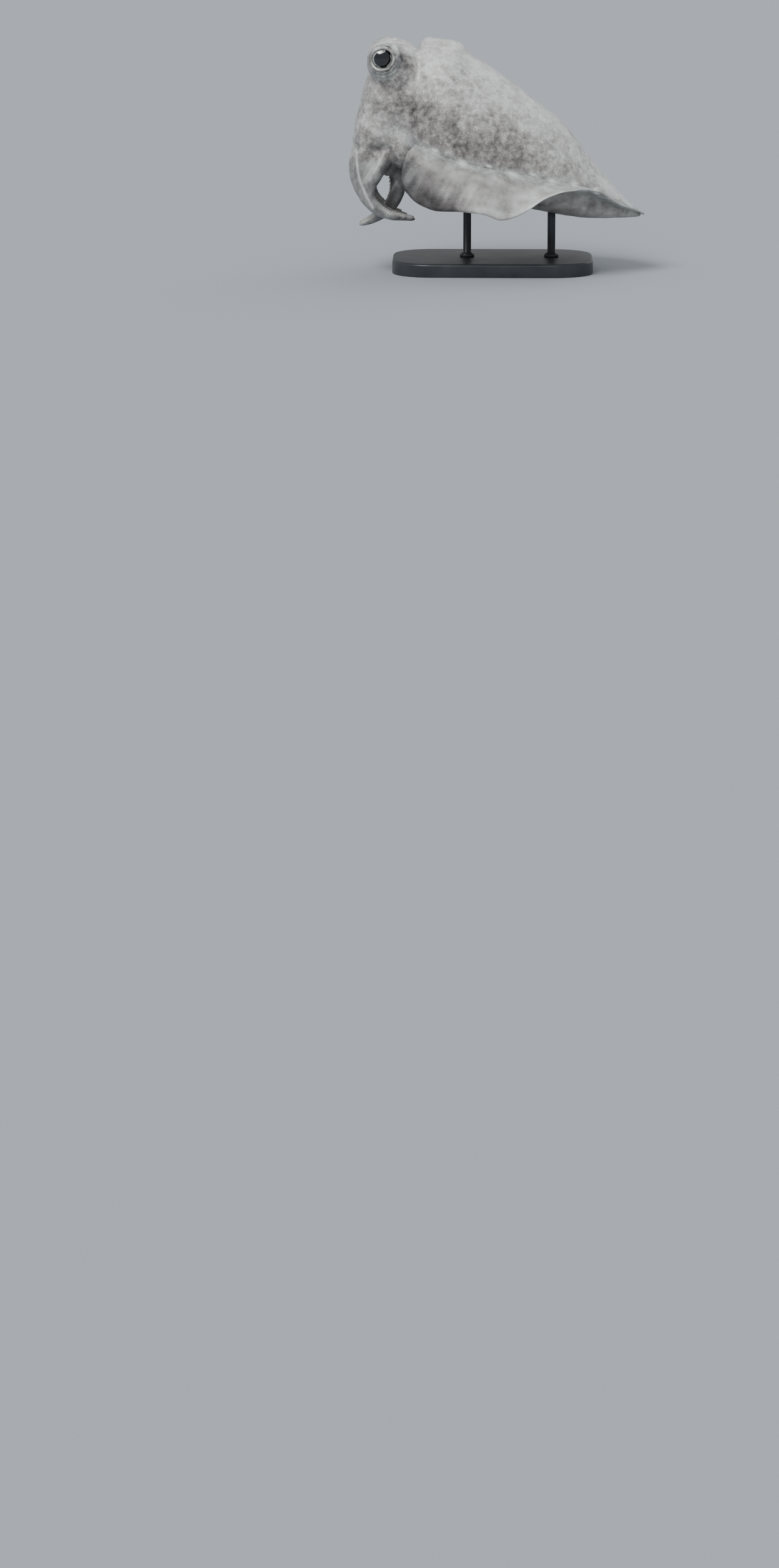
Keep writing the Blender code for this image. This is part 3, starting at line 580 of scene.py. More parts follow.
def mantle_rings(station, turns, shrink=1.0, push=0.0, drop=0.0):
    """Rings of the mantle: squared-off ellipses above and below the widest level, set back at the belly.

    Push moves the back's half along the mantle and drop lowers it, both fading to nothing at the sides.
    """
    station = np.asarray(station, float)[:, None]
    fade = (1 - station / MANTLE_LENGTH) ** 3
    xi = station + BELLY_EDGE_SETBACK * fade * (1 - np.cos(turns)) / 2
    back, belly, widest, half = mantle_section(xi)
    half = half * (1 - RIM_NARROWING * hump(station, RIM_REACH) * np.abs(np.sin(turns)))
    upper = np.cos(turns) >= 0
    reach = np.where(upper, back - widest, widest - belly)
    roundness = np.where(upper, BACK_ROUNDNESS, BELLY_ROUNDNESS)
    level = signed_power(np.cos(turns), roundness)
    side = signed_power(np.sin(turns), roundness)
    middle = (back + belly) / 2
    back_half = smooth_step(*BACK_HALF_FADE, np.cos(turns))
    eta = middle + (widest + reach * level - middle) * shrink - drop * back_half
    return body_point(xi + push * back_half, eta, half * side * shrink)


def mantle_shape():
    """Mantle: its rings from a rounded front rim to the tail, closest together at both ends."""
    turns = full_turn(MANTLE_GRID[1])
    share = np.linspace(0, 1, MANTLE_GRID[0])
    stations = MANTLE_LENGTH * (share - MANTLE_CROWDING * np.sin(2 * math.pi * share))
    rims = [mantle_rings([0.0], turns, *rim) for rim in FRONT_RIM]
    return closed_tube(np.concatenate(rims + [mantle_rings(stations, turns)]))


def head_shape():
    """Head: squared-off ellipses through a back point and a belly point, carried along the sections."""
    steps = np.arange(len(HEAD_SECTIONS), dtype=float)
    at = np.linspace(0, steps[-1], HEAD_GRID[0])
    columns = np.array([(*back, *belly, half) for back, belly, half in HEAD_SECTIONS])
    bx, bz, vx, vz, half = (value_along(np.column_stack((steps, column)), at) for column in columns.T)
    turns = full_turn(HEAD_GRID[1])
    along = signed_power(np.cos(turns), HEAD_ROUNDNESS)
    side = signed_power(np.sin(turns), HEAD_ROUNDNESS)
    x = ((bx + vx) / 2)[:, None] + ((bx - vx) / 2)[:, None] * along
    z = ((bz + vz) / 2)[:, None] + ((bz - vz) / 2)[:, None] * along
    return closed_tube(np.stack(np.broadcast_arrays(x, half[:, None] * side, z), axis=-1))


def ball_shape(centre, radii, power=2.0):
    """Ball stretched to three radii and squared off by a power, from two angles, poles on the Y axis."""
    polar = np.linspace(0, math.pi, BALL_GRID[0])[:, None]
    turns = full_turn(BALL_GRID[1])
    wide = signed_power(np.sin(polar), power)
    x = centre[0] + radii[0] * wide * np.cos(turns)
    y = centre[1] - radii[1] * signed_power(np.cos(polar), power) + 0 * turns
    z = centre[2] + radii[2] * wide * np.sin(turns)
    return closed_tube(np.stack((x, y, z), axis=-1)[1:-1])


def arm_root(pair):
    """Root of an arm on the crown's oval, at equal steps along its outline."""
    turns = np.linspace(0.0, math.pi, CROWN_STEPS)
    xs = -CROWN_RING[0] * np.cos(turns)
    ys = CROWN_RING[1] * np.sin(turns)
    places = np.concatenate(([0.0], np.cumsum(np.hypot(np.diff(xs), np.diff(ys)))))
    at = places[-1] * (pair - 0.5) / len(ARM_COURSES)
    return CROWN_X + np.interp(at, places, xs), np.interp(at, places, ys), CROWN_Z


def arm_course(pair, side):
    """Course points of one arm, its root sunk into the crown; the right arms of three pairs hang lower."""
    root = arm_root(pair)
    course = [(root[0], root[1], root[2] + ARM_SINK), root] + list(ARM_COURSES[pair])
    if side > 0 and pair < len(ARM_COURSES):
        steps = len(course) - 2
        drops = [RIGHT_ARMS_DROP * (max(i - 1, 0) / steps) ** 2 for i in range(len(course))]
        course = [(x, y, z - drop) for (x, y, z), drop in zip(course, drops)]
    return np.array([(x, side * y, z) for x, y, z in course])


def arm_line(course, share):
    """Centre, direction, mouth side and sideways direction at shares of an arm's length."""
    centre = along_course(course, share)
    along = course_direction(course, share, ARM_STEP)
    mouthward = np.array(MOUTH_SIDE_TARGET) - centre
    mouthward = unit(mouthward - along * np.sum(along * mouthward, axis=-1, keepdims=True))
    return centre, along, mouthward, np.cross(along, mouthward)


def arm_radius(share):
    """Radius of an arm, tapering by a power of the share and rounded off at the tip."""
    radius = ARM_TIP_RADIUS + (ARM_ROOT_RADIUS - ARM_TIP_RADIUS) * (1 - share ** ARM_TAPER_POWER)
    left = 1 - smooth_step(ARM_ROUNDING_START, 1.0, share) ** 2 * ARM_TIP_LOSS
    return radius * np.sqrt(np.clip(left, 1 - ARM_TIP_LOSS, 1))


def arm_profile(angle):
    """Share of the arm's radius round it: flat at the mouth, ridged beside the suckers, keeled outside."""
    flat = 1 - ARM_FLAT[0] * hump(angle, ARM_FLAT[1])
    ridge = ARM_RIDGE[0] * hump(np.abs(angle) - ARM_RIDGE_ANGLE, ARM_RIDGE[1])
    keel = ARM_KEEL[0] * hump(math.pi - np.abs(angle), ARM_KEEL[1])
    return flat + ridge + keel


def arm_shape(pair, side):
    """One arm: its profile carried along the course."""
    share = np.linspace(0, 1, ARM_GRID[0])
    centre, _, mouthward, sideways = arm_line(arm_course(pair, side), share)
    angle = full_turn(ARM_GRID[1], -math.pi)
    reach = (arm_radius(share)[:, None] * arm_profile(angle))[..., None]
    ring = np.cos(angle)[:, None] * mouthward[:, None, :] + np.sin(angle)[:, None] * sideways[:, None, :]
    return closed_tube(centre[:, None, :] + reach * ring)


def web_shape(first, second, length, thickness):
    """Web between two arms: ovals from one arm's middle to the other's, fading out along them."""
    share = np.linspace(0.0, length, WEB_GRID[0])
    a = arm_line(arm_course(*first), share)
    b = arm_line(arm_course(*second), share)
    centre = (a[0] + b[0]) / 2
    across = unit(a[0] - b[0])
    inward = np.cross(unit(a[1] + b[1]), across)
    half = np.linalg.norm(a[0] - b[0], axis=-1) / 2
    fade = np.sqrt(np.clip(1 - (share / length) ** WEB_FADE_POWER, 0.002, 1))
    angle = full_turn(WEB_GRID[1], -math.pi)
    reach = half * np.minimum(1, fade * WEB_FULL_WIDTH)
    wide = reach[:, None, None] * np.cos(angle)[:, None] * across[:, None, :]
    deep = (thickness * fade)[:, None, None] * np.sin(angle)[:, None] * inward[:, None, :]
    return closed_tube(centre[:, None, :] + wide + deep)


def funnel_shape():
    """Funnel: ovals carried along its course, then back inside as a bore."""
    shares = np.concatenate((np.linspace(0, 1, FUNNEL_GRID[0]), FUNNEL_BORE_SHARES))
    whole = np.ones(len(shares) - len(FUNNEL_END_SHRINK))
    shrink = np.concatenate((whole, FUNNEL_END_SHRINK))
    course = np.array(FUNNEL_COURSE, float)
    centre = along_course(course, shares)
    along = course_direction(course, shares, FUNNEL_STEP)
    knots = np.linspace(0, 1, len(FUNNEL_HALF_WIDTHS))
    width = np.interp(shares, knots, FUNNEL_HALF_WIDTHS) * shrink
    depth = np.interp(shares, knots, FUNNEL_HALF_DEPTHS) * shrink
    turns = full_turn(FUNNEL_GRID[1])
    x = centre[:, :1] - along[:, 1:] * depth[:, None] * np.cos(turns)
    z = centre[:, 1:] + along[:, :1] * depth[:, None] * np.cos(turns)
    y = width[:, None] * np.sin(turns)
    return closed_tube(np.stack((x, y, z), axis=-1))


def fused_body():
    """All flesh but the fins as one closed surface, by a voxel remesh of its source shapes."""
    parts = [mantle_shape(), head_shape(), funnel_shape()]
    for side in (-1, 1):
        for (x, y, z), radii, power in HEAD_BALLS:
            parts.append(ball_shape((x, side * y, z), radii, power))
    parts += [arm_shape(pair, side) for pair, side in ARM_ORDER]
    for i, arm in enumerate(ARM_ORDER):
        parts.append(web_shape(arm, ARM_ORDER[(i + 1) % len(ARM_ORDER)], *WEBS[i]))
    meshes = [make_mesh("part", points, faces) for points, faces in parts]
    source = bpy.data.objects.new("source", joined_mesh(meshes))
    bpy.context.scene.collection.objects.link(source)
    modifier = source.modifiers.new("fuse", "REMESH")
    modifier.mode = "VOXEL"
    modifier.voxel_size = VOXEL * MM
    modifier.use_smooth_shade = True
    mesh = evaluated_mesh(source)
    bpy.data.objects.remove(source)
    return mesh


def joined_mesh(meshes):
    """One mesh that holds several meshes side by side."""
    bm = bmesh.new()
    for mesh in meshes:
        bm.from_mesh(mesh)
        bpy.data.meshes.remove(mesh)
    whole = bpy.data.meshes.new("whole")
    bm.to_mesh(whole)
    bm.free()
    return whole


def smoothed(mesh, rounds, strength=0.6):
    """Each corner moved part of the way to its neighbours' mean, several times; strength may be an array."""
    edges = np.empty(len(mesh.edges) * 2, np.int32)
    mesh.edges.foreach_get("vertices", edges)
    a, b = edges.reshape(-1, 2).T
    points = points_of(mesh)
    count = np.bincount(a, minlength=len(points)) + np.bincount(b, minlength=len(points))
    for _ in range(rounds):
        mean = np.empty_like(points)
        for k in range(3):
            total = np.bincount(a, points[b, k], len(points)) + np.bincount(b, points[a, k], len(points))
            mean[:, k] = total / count
        points += np.reshape(strength, (-1, 1)) * (mean - points)
    place_points(mesh, points)


# Forms and markings of the skin


def distance_to_line(x, z, line):
    """Least distance in the side view from each place to a line through several points."""
    least = np.full(x.shape, 1e9)
    for (ax, az), (bx, bz) in zip(line, line[1:]):
        dx, dz = bx - ax, bz - az
        t = np.clip(((x - ax) * dx + (z - az) * dz) / (dx * dx + dz * dz), 0, 1)
        least = np.minimum(least, np.hypot(x - ax - t * dx, z - az - t * dz))
    return least


def eye_offset(points):
    """Distance from the nearer eye's axis, and the forward and upward parts of it."""
    forward = points[:, 0] - EYE_CENTRE[0]
    upward = points[:, 2] - EYE_CENTRE[2]
    return np.hypot(forward, upward), forward, upward


def dome_level(forward, upward):
    """Distance from the middle plane of the dome's surface at an offset from the eye's axis."""
    x = (EYE_CENTRE[0] + forward - DOME_CENTRE[0]) / DOME_RADII[0]
    z = (EYE_CENTRE[2] + upward - DOME_CENTRE[2]) / DOME_RADII[2]
    off = np.hypot(x, z)
    return DOME_CENTRE[1] + DOME_RADII[1] * np.clip(1 - off ** DOME_POWER, 0, 1) ** (1 / DOME_POWER)


def lid_level(forward, upward):
    """Distance of the skin by an eye from the middle plane: the dome and a shell over the ball, blended."""
    dome = dome_level(forward, upward)
    reach = EYE_RADIUS + LID_SHELL
    shell = EYE_CENTRE[1] + np.sqrt(np.clip(reach ** 2 - forward ** 2 - upward ** 2, 0, None))
    high, low = np.maximum(dome, shell), np.minimum(dome, shell)
    return high + 0.25 * LID_BLEND * np.clip(1 - (high - low) / LID_BLEND, 0, 1) ** 2


def seen_level(points):
    """Height at which the side view shows a place, lowered by its distance from the middle plane."""
    return points[:, 2] - LOOK_SINE * np.abs(points[:, 1])


def fin_base_marks(points):
    """Raised pale marks of uneven length along each fin's root."""
    xi, eta = mantle_axes(points)
    total = np.zeros(len(points))
    for place, lift, half_length, half_width in FIN_BASE_MARKS:
        level = value_along(FIN_ROOT_LEVEL, place) + MARKS_LIFT + lift
        slant = MARKS_SLANT * (xi - place)
        total += hump(xi - place, half_length) * hump(eta - level - slant, half_width)
    return np.clip(total, 0, 1) * (np.abs(points[:, 1]) > 12)


def ease_joints(mesh):
    """Smooth the joints of head, domes and mantle more than the lip, the arms and the funnel."""
    smoothed(mesh, EVEN_ROUNDS)
    points = points_of(mesh)
    x, z = points[:, 0], points[:, 2]
    arms = smooth_step(-20, -36, z) * smooth_step(-58, -68, x)
    funnel = smooth_step(-16, -26, z) * smooth_step(-48, -54, x) * (np.abs(points[:, 1]) < 18)
    lip = smooth_step(44, 54, z) * hump(x + 56, 12)
    tail = smooth_step(80, 95, x)
    share = np.clip(1 - arms - funnel - 0.75 * lip - tail, 0.06, 1)
    smoothed(mesh, JOINT_ROUNDS, 0.6 * share)


def eye_folds(points):
    """Rise of the skin round the eyes: even rings, then wrinkled folds that fade round the eye."""
    off, forward, upward = eye_offset(points)
    around = np.arctan2(upward, forward)
    wrinkle = 0.5 * soft_noise(points, 7.0, 8)
    rise = np.zeros(len(points))
    for height, place, width in EYE_RINGS:
        rise += height * hump(off - place, width)
    for height, place, width, wave, way, lean, fade in EYE_FOLDS:
        fold = height * hump(off - place - wave * wrinkle, width)
        rise += fold * smooth_step(*fade, way * np.sin(around + lean))
    return rise


def dome_papillae(points):
    """Rise of three small papillae on top of each eye's dome."""
    rise = np.zeros(len(points))
    for lean, height in DOME_PAPILLAE:
        x = DOME_CENTRE[0] + DOME_RADII[0] * math.sin(math.radians(lean)) * 0.9
        y = DOME_CENTRE[1] + PAPILLAE_OUTWARD
        off = np.hypot(points[:, 0] - x, np.abs(points[:, 1]) - y)
        rise += height * hump(off, PAPILLA_WIDTH) * (points[:, 2] > 55)
    return rise


def mould_skin(mesh):
    """Raise and sink the skin's folds, papillae, lids and sockets along its outward directions."""
    points = points_of(mesh)
    normals = normals_of(mesh)
    off, forward, upward = eye_offset(points)
    side = np.sign(points[:, 1])
    near_eye = (np.abs(points[:, 1]) > 20) & (off < 24)
    snap = near_eye * (1 - smooth_step(*EYE_SNAP, off)) * (np.abs(points[:, 1]) > 25)
    points[:, 1] += snap * (side * lid_level(forward, upward) - points[:, 1])
    rise = near_eye * eye_folds(points) + dome_papillae(points)
    rise += MARKS_HEIGHT * fin_base_marks(points)
    rise += BROAD_RELIEF * soft_noise(points, 15.0, 3) * smooth_step(-62, -48, points[:, 0])
    for height, size, seed in FINE_RELIEF:
        rise += height * soft_noise(points, size, seed)
    points = points + normals * rise[:, None]
    socket = near_eye & (off < SOCKET_RADIUS) & (np.abs(points[:, 1]) > 26)
    ball = EYE_CENTRE[1] + np.sqrt(np.clip(EYE_RADIUS ** 2 - off ** 2, 0, None)) - SOCKET_DEPTH
    points[socket, 1] = (side * ball)[socket]
    place_points(mesh, points)


def fin_corner(points):
    """Share of the smooth darker patch over each fin's front lower corner."""
    offset = np.hypot((points[:, 0] + 54) / 27, (seen_level(points) + 42) / 19)
    return smooth_step(1.2, 0.5, offset)


def belly_share(points):
    """1 on the mantle below its fins' roots and 0 above them."""
    xi, eta = mantle_axes(points)
    return smooth_step(0.5, 5.0, value_along(FIN_ROOT_LEVEL, xi) - eta) * smooth_step(20, 40, xi)


def mottle_strength(points, normals, on_fin):
    """How strongly mottles show: most on head and back, least on arms, fin corners and undersides."""
    arms = smooth_step(-10, -27, points[:, 2]) * smooth_step(-58, -66, points[:, 0])
    under = smooth_step(*UNDERSIDE, normals[:, 2]) * on_fin
    calm = np.maximum(np.maximum(0.6 * arms, 0.65 * under), 0.8 * fin_corner(points) * on_fin)
    calm = np.maximum(calm, 0.75 * belly_share(points))
    back = 0.25 * smooth_step(0.4, 0.9, normals[:, 2])
    return np.clip(1 - calm - back, 0.1, 1)


def eye_shade(points):
    """Darkening of the lids, and painted shade in the patch and the horn behind each eye, a recess and a
    crease between the lid folds.
    """
    off, forward, upward = eye_offset(points)
    shade = LID_SHADE * hump(off - LID_SHADE_RADIUS, LID_SHADE_WIDTH)
    for ahead, above, wide, high, depth in EYE_SHADES:
        shade += depth * hump(np.hypot((forward - ahead) / wide, (upward - above) / high), 1.0)
    return shade * (np.abs(points[:, 1]) > 22)


def fin_tone(points, up, fin_share):
    """Change of tone on the fins: dark corner, painted shade in the wedge by the arms, bright middle, pale
    edge, and darker undersides, partly painted shade and partly pigment.
    """
    x, z = points[:, 0], seen_level(points)
    corner = fin_corner(points)
    # Darker fin skin that faces downward: partly painted shade, partly pigment.
    under = smooth_step(*UNDERSIDE, up)
    # Painted shade in the wedge between the arms' roots and the fin's front.
    wedge = hump(distance_to_line(x, z, SHADED_WEDGE), WEDGE_WIDTH_FIN)
    bright = hump(distance_to_line(x, z, FIN_BRIGHT), FIN_BRIGHT_WIDTH) * (1 - under)
    edge = hump(fin_share - 0.93, 0.05) * (1 - under) * (1 - np.maximum(corner, wedge))
    return 0.04 - 0.16 * corner - 0.56 * wedge + 0.12 * bright - 0.04 * under + 0.20 * edge


def skin_tone(points, normals, on_fin, fin_share):
    """Lightness of the skin from 0 to 1: painted light on the upward-facing back and the lower rear flank,
    painted shade on the belly and in the wedge between arms and fins, dark band along the flank, greyer arms
    and face.
    """
    x, y, z = points[:, 0], np.abs(points[:, 1]), seen_level(points)
    up, off_fin = normals[:, 2], 1 - on_fin
    clump = 3.5 * soft_noise(points, 9.0, 21) + 1.5 * soft_noise(points, 4.0, 22)
    flank = smooth_step(0.92, 0.4, up) * off_fin
    # Painted light: skin off the fins is made lighter the more it faces upward, as if lit from above.
    tone = TONE_BASE + 0.30 * smooth_step(0.05, 0.75, up) * off_fin
    for line, change, width in FLANK_LINES:
        tone += change * hump(distance_to_line(x, z, line) + clump, width) * flank
    for px, pz, width in UPPER_SMUDGES:
        tone -= SMUDGE_DEPTH * hump(np.hypot(x - px, z - pz) + clump, width) * flank
    for line, change, width, clumping, least_y in HEAD_LINES:
        tone += change * hump(distance_to_line(x, z, line) + clumping * clump, width) * (y > least_y)
    # Painted light: the lower flank towards the rear is made lighter to offset the shade it gets from facing
    # downward.
    tone += 0.10 * smooth_step(5, 45, x) * smooth_step(0, -25, z) * off_fin
    tone -= 0.16 * smooth_step(-12, -27, z) * smooth_step(-58, -66, x)
    # Painted shade: the mantle below the fins' roots, in the fins' shadow and facing down, is made darker.
    tone -= 0.16 * belly_share(points) * off_fin
    # Painted shade in the wedge between the arms' roots and the fins.
    tone -= 0.15 * hump(distance_to_line(x, z, SHADED_WEDGE), WEDGE_WIDTH_SKIN) * off_fin * (y > 10)
    return np.clip(tone - eye_shade(points) + on_fin * fin_tone(points, up, fin_share), 0.02, 1)


def skin_white(points):
    """Share of bright white: marks at the fin's base, rims of the lids and edges of the front arms."""
    off, forward, upward = eye_offset(points)
    around = np.degrees(np.arctan2(upward, forward))
    sectors = sum(share * hump(around - middle, width) for share, middle, width in LID_WHITES)
    eye = hump(off - 8.2, 0.75) * np.clip(sectors, 0, 1) * (np.abs(points[:, 1]) > 26)
    x, z = points[:, 0], seen_level(points)
    edge = 0.6 * hump(distance_to_line(x, z, ARM_EDGE), 0.8) * (np.abs(points[:, 1]) > 12)
    edge += 0.5 * hump(distance_to_line(x, z, REAR_ARM_EDGE), 0.8)
    return np.clip(fin_base_marks(points) + eye + edge * (points[:, 2] < -10), 0, 1)


def skin_gleam(points, on_fin):
    """Share of blue-green gleam: round the eyes, along the fins' roots and on the arms' outer sides."""
    off = eye_offset(points)[0]
    eyes = 0.6 * hump(off - 12.5, 3.5) * (np.abs(points[:, 1]) > 22)
    xi, eta = mantle_axes(points)
    base = 0.42 * hump(eta - value_along(FIN_ROOT_LEVEL, xi) - 1.0, 4.0) * (xi > 15)
    arms = 0.42 * smooth_step(-12, -26, points[:, 2]) * smooth_step(-58, -66, points[:, 0])
    return np.clip(eyes + base + arms + 0.15 * on_fin, 0, 1)


def store_markings(mesh, colours):
    """Store four values at every corner in a colour attribute named markings."""
    attribute = mesh.attributes.new("markings", "FLOAT_COLOR", "POINT")
    attribute.data.foreach_set("color", colours.ravel())


def add_markings(mesh, on_fin, fin_share):
    """Store tone, gleam, white and mottle strength at every corner of the skin."""
    points = points_of(mesh)
    normals = normals_of(mesh)
    colours = np.ones((len(points), 4), np.float32)
    colours[:, 0] = skin_tone(points, normals, on_fin, fin_share)
    colours[:, 1] = skin_gleam(points, on_fin) * (0.15 + 1.1 * colours[:, 0])
    colours[:, 2] = skin_white(points)
    colours[:, 3] = mottle_strength(points, normals, on_fin)
    store_markings(mesh, colours)


def thinned(mesh, triangles):
    """Mesh with its triangles joined up where the surface is flattest, down to a count."""
    holder = bpy.data.objects.new("holder", mesh)
    bpy.context.scene.collection.objects.link(holder)
    sides = len(mesh.loops) - 2 * len(mesh.polygons)
    if sides > triangles:
        modifier = holder.modifiers.new("thin", "DECIMATE")
        modifier.ratio = triangles / sides
    result = evaluated_mesh(holder)
    bpy.data.objects.remove(holder)
    return result


def lid_shape(side):
    """Lid round one eye: an oval fold carried round the opening, its lower half sunk in the dome."""
    turns, roll = full_turn(LID_GRID[0]), full_turn(LID_GRID[1])
    upper = np.clip(np.sin(turns), 0, 1)
    lower = np.clip(-np.sin(turns), 0, 1)
    middle = LID_OPENING - 0.75 * upper ** 3 - 0.35 * lower ** 2 + 0.08 * np.sin(5 * turns)
    thick = 0.70 + 0.45 * upper + 0.15 * lower + 0.10 * np.sin(11 * turns + 1) * (upper + lower)
    level = lid_level(middle * np.cos(turns), middle * np.sin(turns)) - LID_SINK
    radius = middle[:, None] + LID_HALF_WIDTH * np.cos(roll)
    y = side * (level[:, None] + thick[:, None] * np.sin(roll))
    x = EYE_CENTRE[0] + radius * np.cos(turns)[:, None]
    z = EYE_CENTRE[2] + radius * np.sin(turns)[:, None]
    return np.stack((x, y, z), axis=-1).reshape(-1, 3), grid_faces(*LID_GRID, rows_closed=True)


def flank_reach(xi, eta):
    """Half width of the mantle below its widest level."""
    _, belly, widest, half = mantle_section(xi)
    drop = np.clip((widest - eta) / (widest - belly), 0, 1)
    return half * (1 - drop ** BELLY_ROUNDNESS) ** (1 / BELLY_ROUNDNESS)


def fin_corner_shares():
    """Share of the way from root to edge of every corner of both fins, in the order of their points."""
    t = np.linspace(0, 1, FIN_GRID[1])
    one = np.concatenate((np.tile(np.concatenate((t, t[::-1])), FIN_GRID[0]), (0.5, 0.5)))
    return np.tile(one, 2)


def fin_wave(xi, t):
    """Waves over the fin's middle line: a broad one whose pitch swings and a fine one, both as sines."""
    height, pitch, swing, swing_pitch = FIN_BROAD_WAVE
    broad = height * t ** 2 * np.sin(xi * pitch + swing * np.sin(xi * swing_pitch))
    height, pitch, lean = FIN_FINE_WAVE
    return broad + height * t * np.sin(xi * pitch + lean * t)


def fin_half_thickness(xi, t, wide, beyond_skin):
    """Half thickness of a fin: flared where it leaves the skin, thin at both ends, rounded at the edge."""
    tail_share = smooth_step(FIN_END, FIN_END - FIN_TAIL_THINNING, xi)
    full_share = tail_share * smooth_step(FIN_START, FIN_START + FIN_FRONT_THINNING, xi)
    flare = FIN_FLARE * full_share * np.exp(-np.clip(beyond_skin, 0, None) / FIN_FLARE_REACH)
    thick = FIN_ROOT_THICKNESS + flare + (FIN_EDGE_THICKNESS - FIN_ROOT_THICKNESS) * t
    rounding = 1 - np.clip(t - FIN_ROUNDING_START, 0, None) * FIN_ROUNDING_RATE
    thin_edge = np.sqrt(np.clip(rounding, 0.05, 1))
    return thick * thin_edge / 2 * np.clip(wide * 4, 0.2, 1) * (0.5 + 0.5 * full_share)


def fin_shape(edge_level, side):
    """Fin: a curved vane from root to edge, its thickness laid off both sides of a bent middle line.

    Its width grows from nothing at the front like the side of an ellipse, so that the front corner is round.
    """
    station = np.linspace(0, 1, FIN_GRID[0])[:, None] ** FIN_CROWDING
    xi = FIN_START + (FIN_END - FIN_START) * station
    t = np.linspace(0, 1, FIN_GRID[1])
    before_lobe = np.clip(FIN_START + FIN_LOBE - xi, 0, None) / FIN_LOBE
    open_share = np.sqrt(np.clip(1 - before_lobe ** 2, 0, 1))
    close_share = np.sqrt(np.clip((FIN_END - xi) / FIN_TAIL_ROUNDING, 0, 1))
    wide = np.maximum(open_share * close_share, 0.02)
    root_eta = value_along(FIN_ROOT_LEVEL, xi)
    front_sink = FIN_FRONT_SINK * hump(xi - FIN_START, FIN_SINK_REACH)
    flank = flank_reach(np.minimum(xi, MANTLE_LENGTH), root_eta)
    root_y = np.maximum(flank - FIN_ROOT_SINK, FIN_MIDDLE_CLEARANCE) - front_sink
    edge_eta = root_eta + (value_along(edge_level, xi) - root_eta) * wide
    edge_y = root_y + np.maximum(value_along(EDGE_REACH, xi) - root_y, FIN_LEAST_WIDTH) * wide
    root = np.stack((root_y, root_eta), -1)
    edge = np.stack((edge_y, edge_eta), -1)
    bend = root + (edge - root) * np.array(FIN_BEND)
    s = t[:, None]
    middle = (1 - s) ** 2 * root + 2 * s * (1 - s) * bend + s * s * edge
    slope = unit((1 - s) * (bend - root) + s * (edge - bend))
    normal = np.stack((-slope[..., 1], slope[..., 0]), -1)
    middle = middle + normal * (fin_wave(xi, t) * wide)[..., None]
    beyond_skin = t * np.linalg.norm(edge - root, axis=-1) - (FIN_ROOT_SINK + front_sink)
    half = normal * fin_half_thickness(xi, t, wide, beyond_skin)[..., None]
    lead = FIN_FRONT_LEAD * t * np.exp(-(xi - FIN_START) / FIN_LEAD_FADE) * open_share ** 2
    top, bottom = (
        body_point(xi - lead, face[..., 1], side * face[..., 0]) for face in (middle + half, middle - half)
    )
    return closed_tube(np.concatenate((top, bottom[:, ::-1]), axis=1))


# Suckers, eyes, mouth and stand


def cup_faces(count, rows, sides):
    """Faces of many equal cups, each one's rings joined up and both ends closed by fans."""
    k = np.arange(1, sides - 1)
    last = (rows - 1) * sides
    lid = np.stack((0 * k + last, last + k, last + k + 1, last + k + 1), -1)
    base = np.stack((0 * k, k + 1, k, k), -1)
    faces = np.concatenate((grid_faces(rows, sides), lid, base))
    return (faces[None] + (np.arange(count) * rows * sides)[:, None, None]).reshape(-1, 4)


def sucker_shapes(pair, side, draw):
    """Suckers of one arm: small cups in four staggered rows, their profile turned round each one's axis."""
    stations = np.arange(SUCKER_STATIONS)
    run = 1 - (1 - (stations + 0.5) / SUCKER_STATIONS) ** SUCKER_CROWDING
    share = np.repeat(SUCKER_START + SUCKER_RUN * run, 2)
    angle = np.radians(np.array(SUCKER_COLUMNS))[stations % 2].ravel()
    centre, along, mouthward, sideways = arm_line(arm_course(pair, side), share)
    radius = arm_radius(share)
    outward = np.cos(angle)[:, None] * mouthward + np.sin(angle)[:, None] * sideways
    lean = angle * SUCKER_LEAN
    facing = unit(np.cos(lean)[:, None] * mouthward + np.sin(lean)[:, None] * sideways)
    size = SUCKER_TO_ARM * radius * draw.uniform(*SUCKER_SPREAD, len(radius))
    foot = centre + (radius * arm_profile(angle) - SUCKER_SINK)[:, None] * outward
    across = unit(np.cross(facing, along))
    ahead = np.cross(across, facing)
    turns = full_turn(SUCKER_SIDES)
    spin = np.cos(turns)[:, None, None] * ahead + np.sin(turns)[:, None, None] * across
    rings = [foot + size[:, None] * (height * facing + width * spin) for height, width in SUCKER_PROFILE]
    grid = np.stack(rings, axis=0).transpose(2, 0, 1, 3)
    return grid.reshape(-1, 3), cup_faces(*grid.shape[:3])


def eyeball_shape(side):
    """Eyeball: a ball worked out from the angle off its outward axis and the angle round it."""
    polar = math.pi * (np.linspace(0, 1, EYE_GRID[0]) ** EYE_CROWDING)[1:-1, None]
    turns = full_turn(EYE_GRID[1])
    x = EYE_CENTRE[0] + EYE_RADIUS * np.sin(polar) * np.cos(turns)
    z = EYE_CENTRE[2] + EYE_RADIUS * np.sin(polar) * np.sin(turns)
    y = side * (EYE_CENTRE[1] + EYE_RADIUS * np.cos(polar)) + 0 * turns
    return closed_tube(np.stack((x, y, z), axis=-1))


def pupil_mask(forward, upward):
    """1 inside the pupil: a wide oval with a horn up and back and a point below, cut in above."""
    def oval(ahead, above, wide, high):
        return np.hypot((forward - ahead) / wide, (upward - above) / high)
    field = np.minimum.reduce([oval(*shape) for shape in PUPIL_OVALS])
    field = np.maximum(field, 2 - oval(*PUPIL_NOTCH))
    return 1 - smooth_step(*PUPIL_EDGE, field)


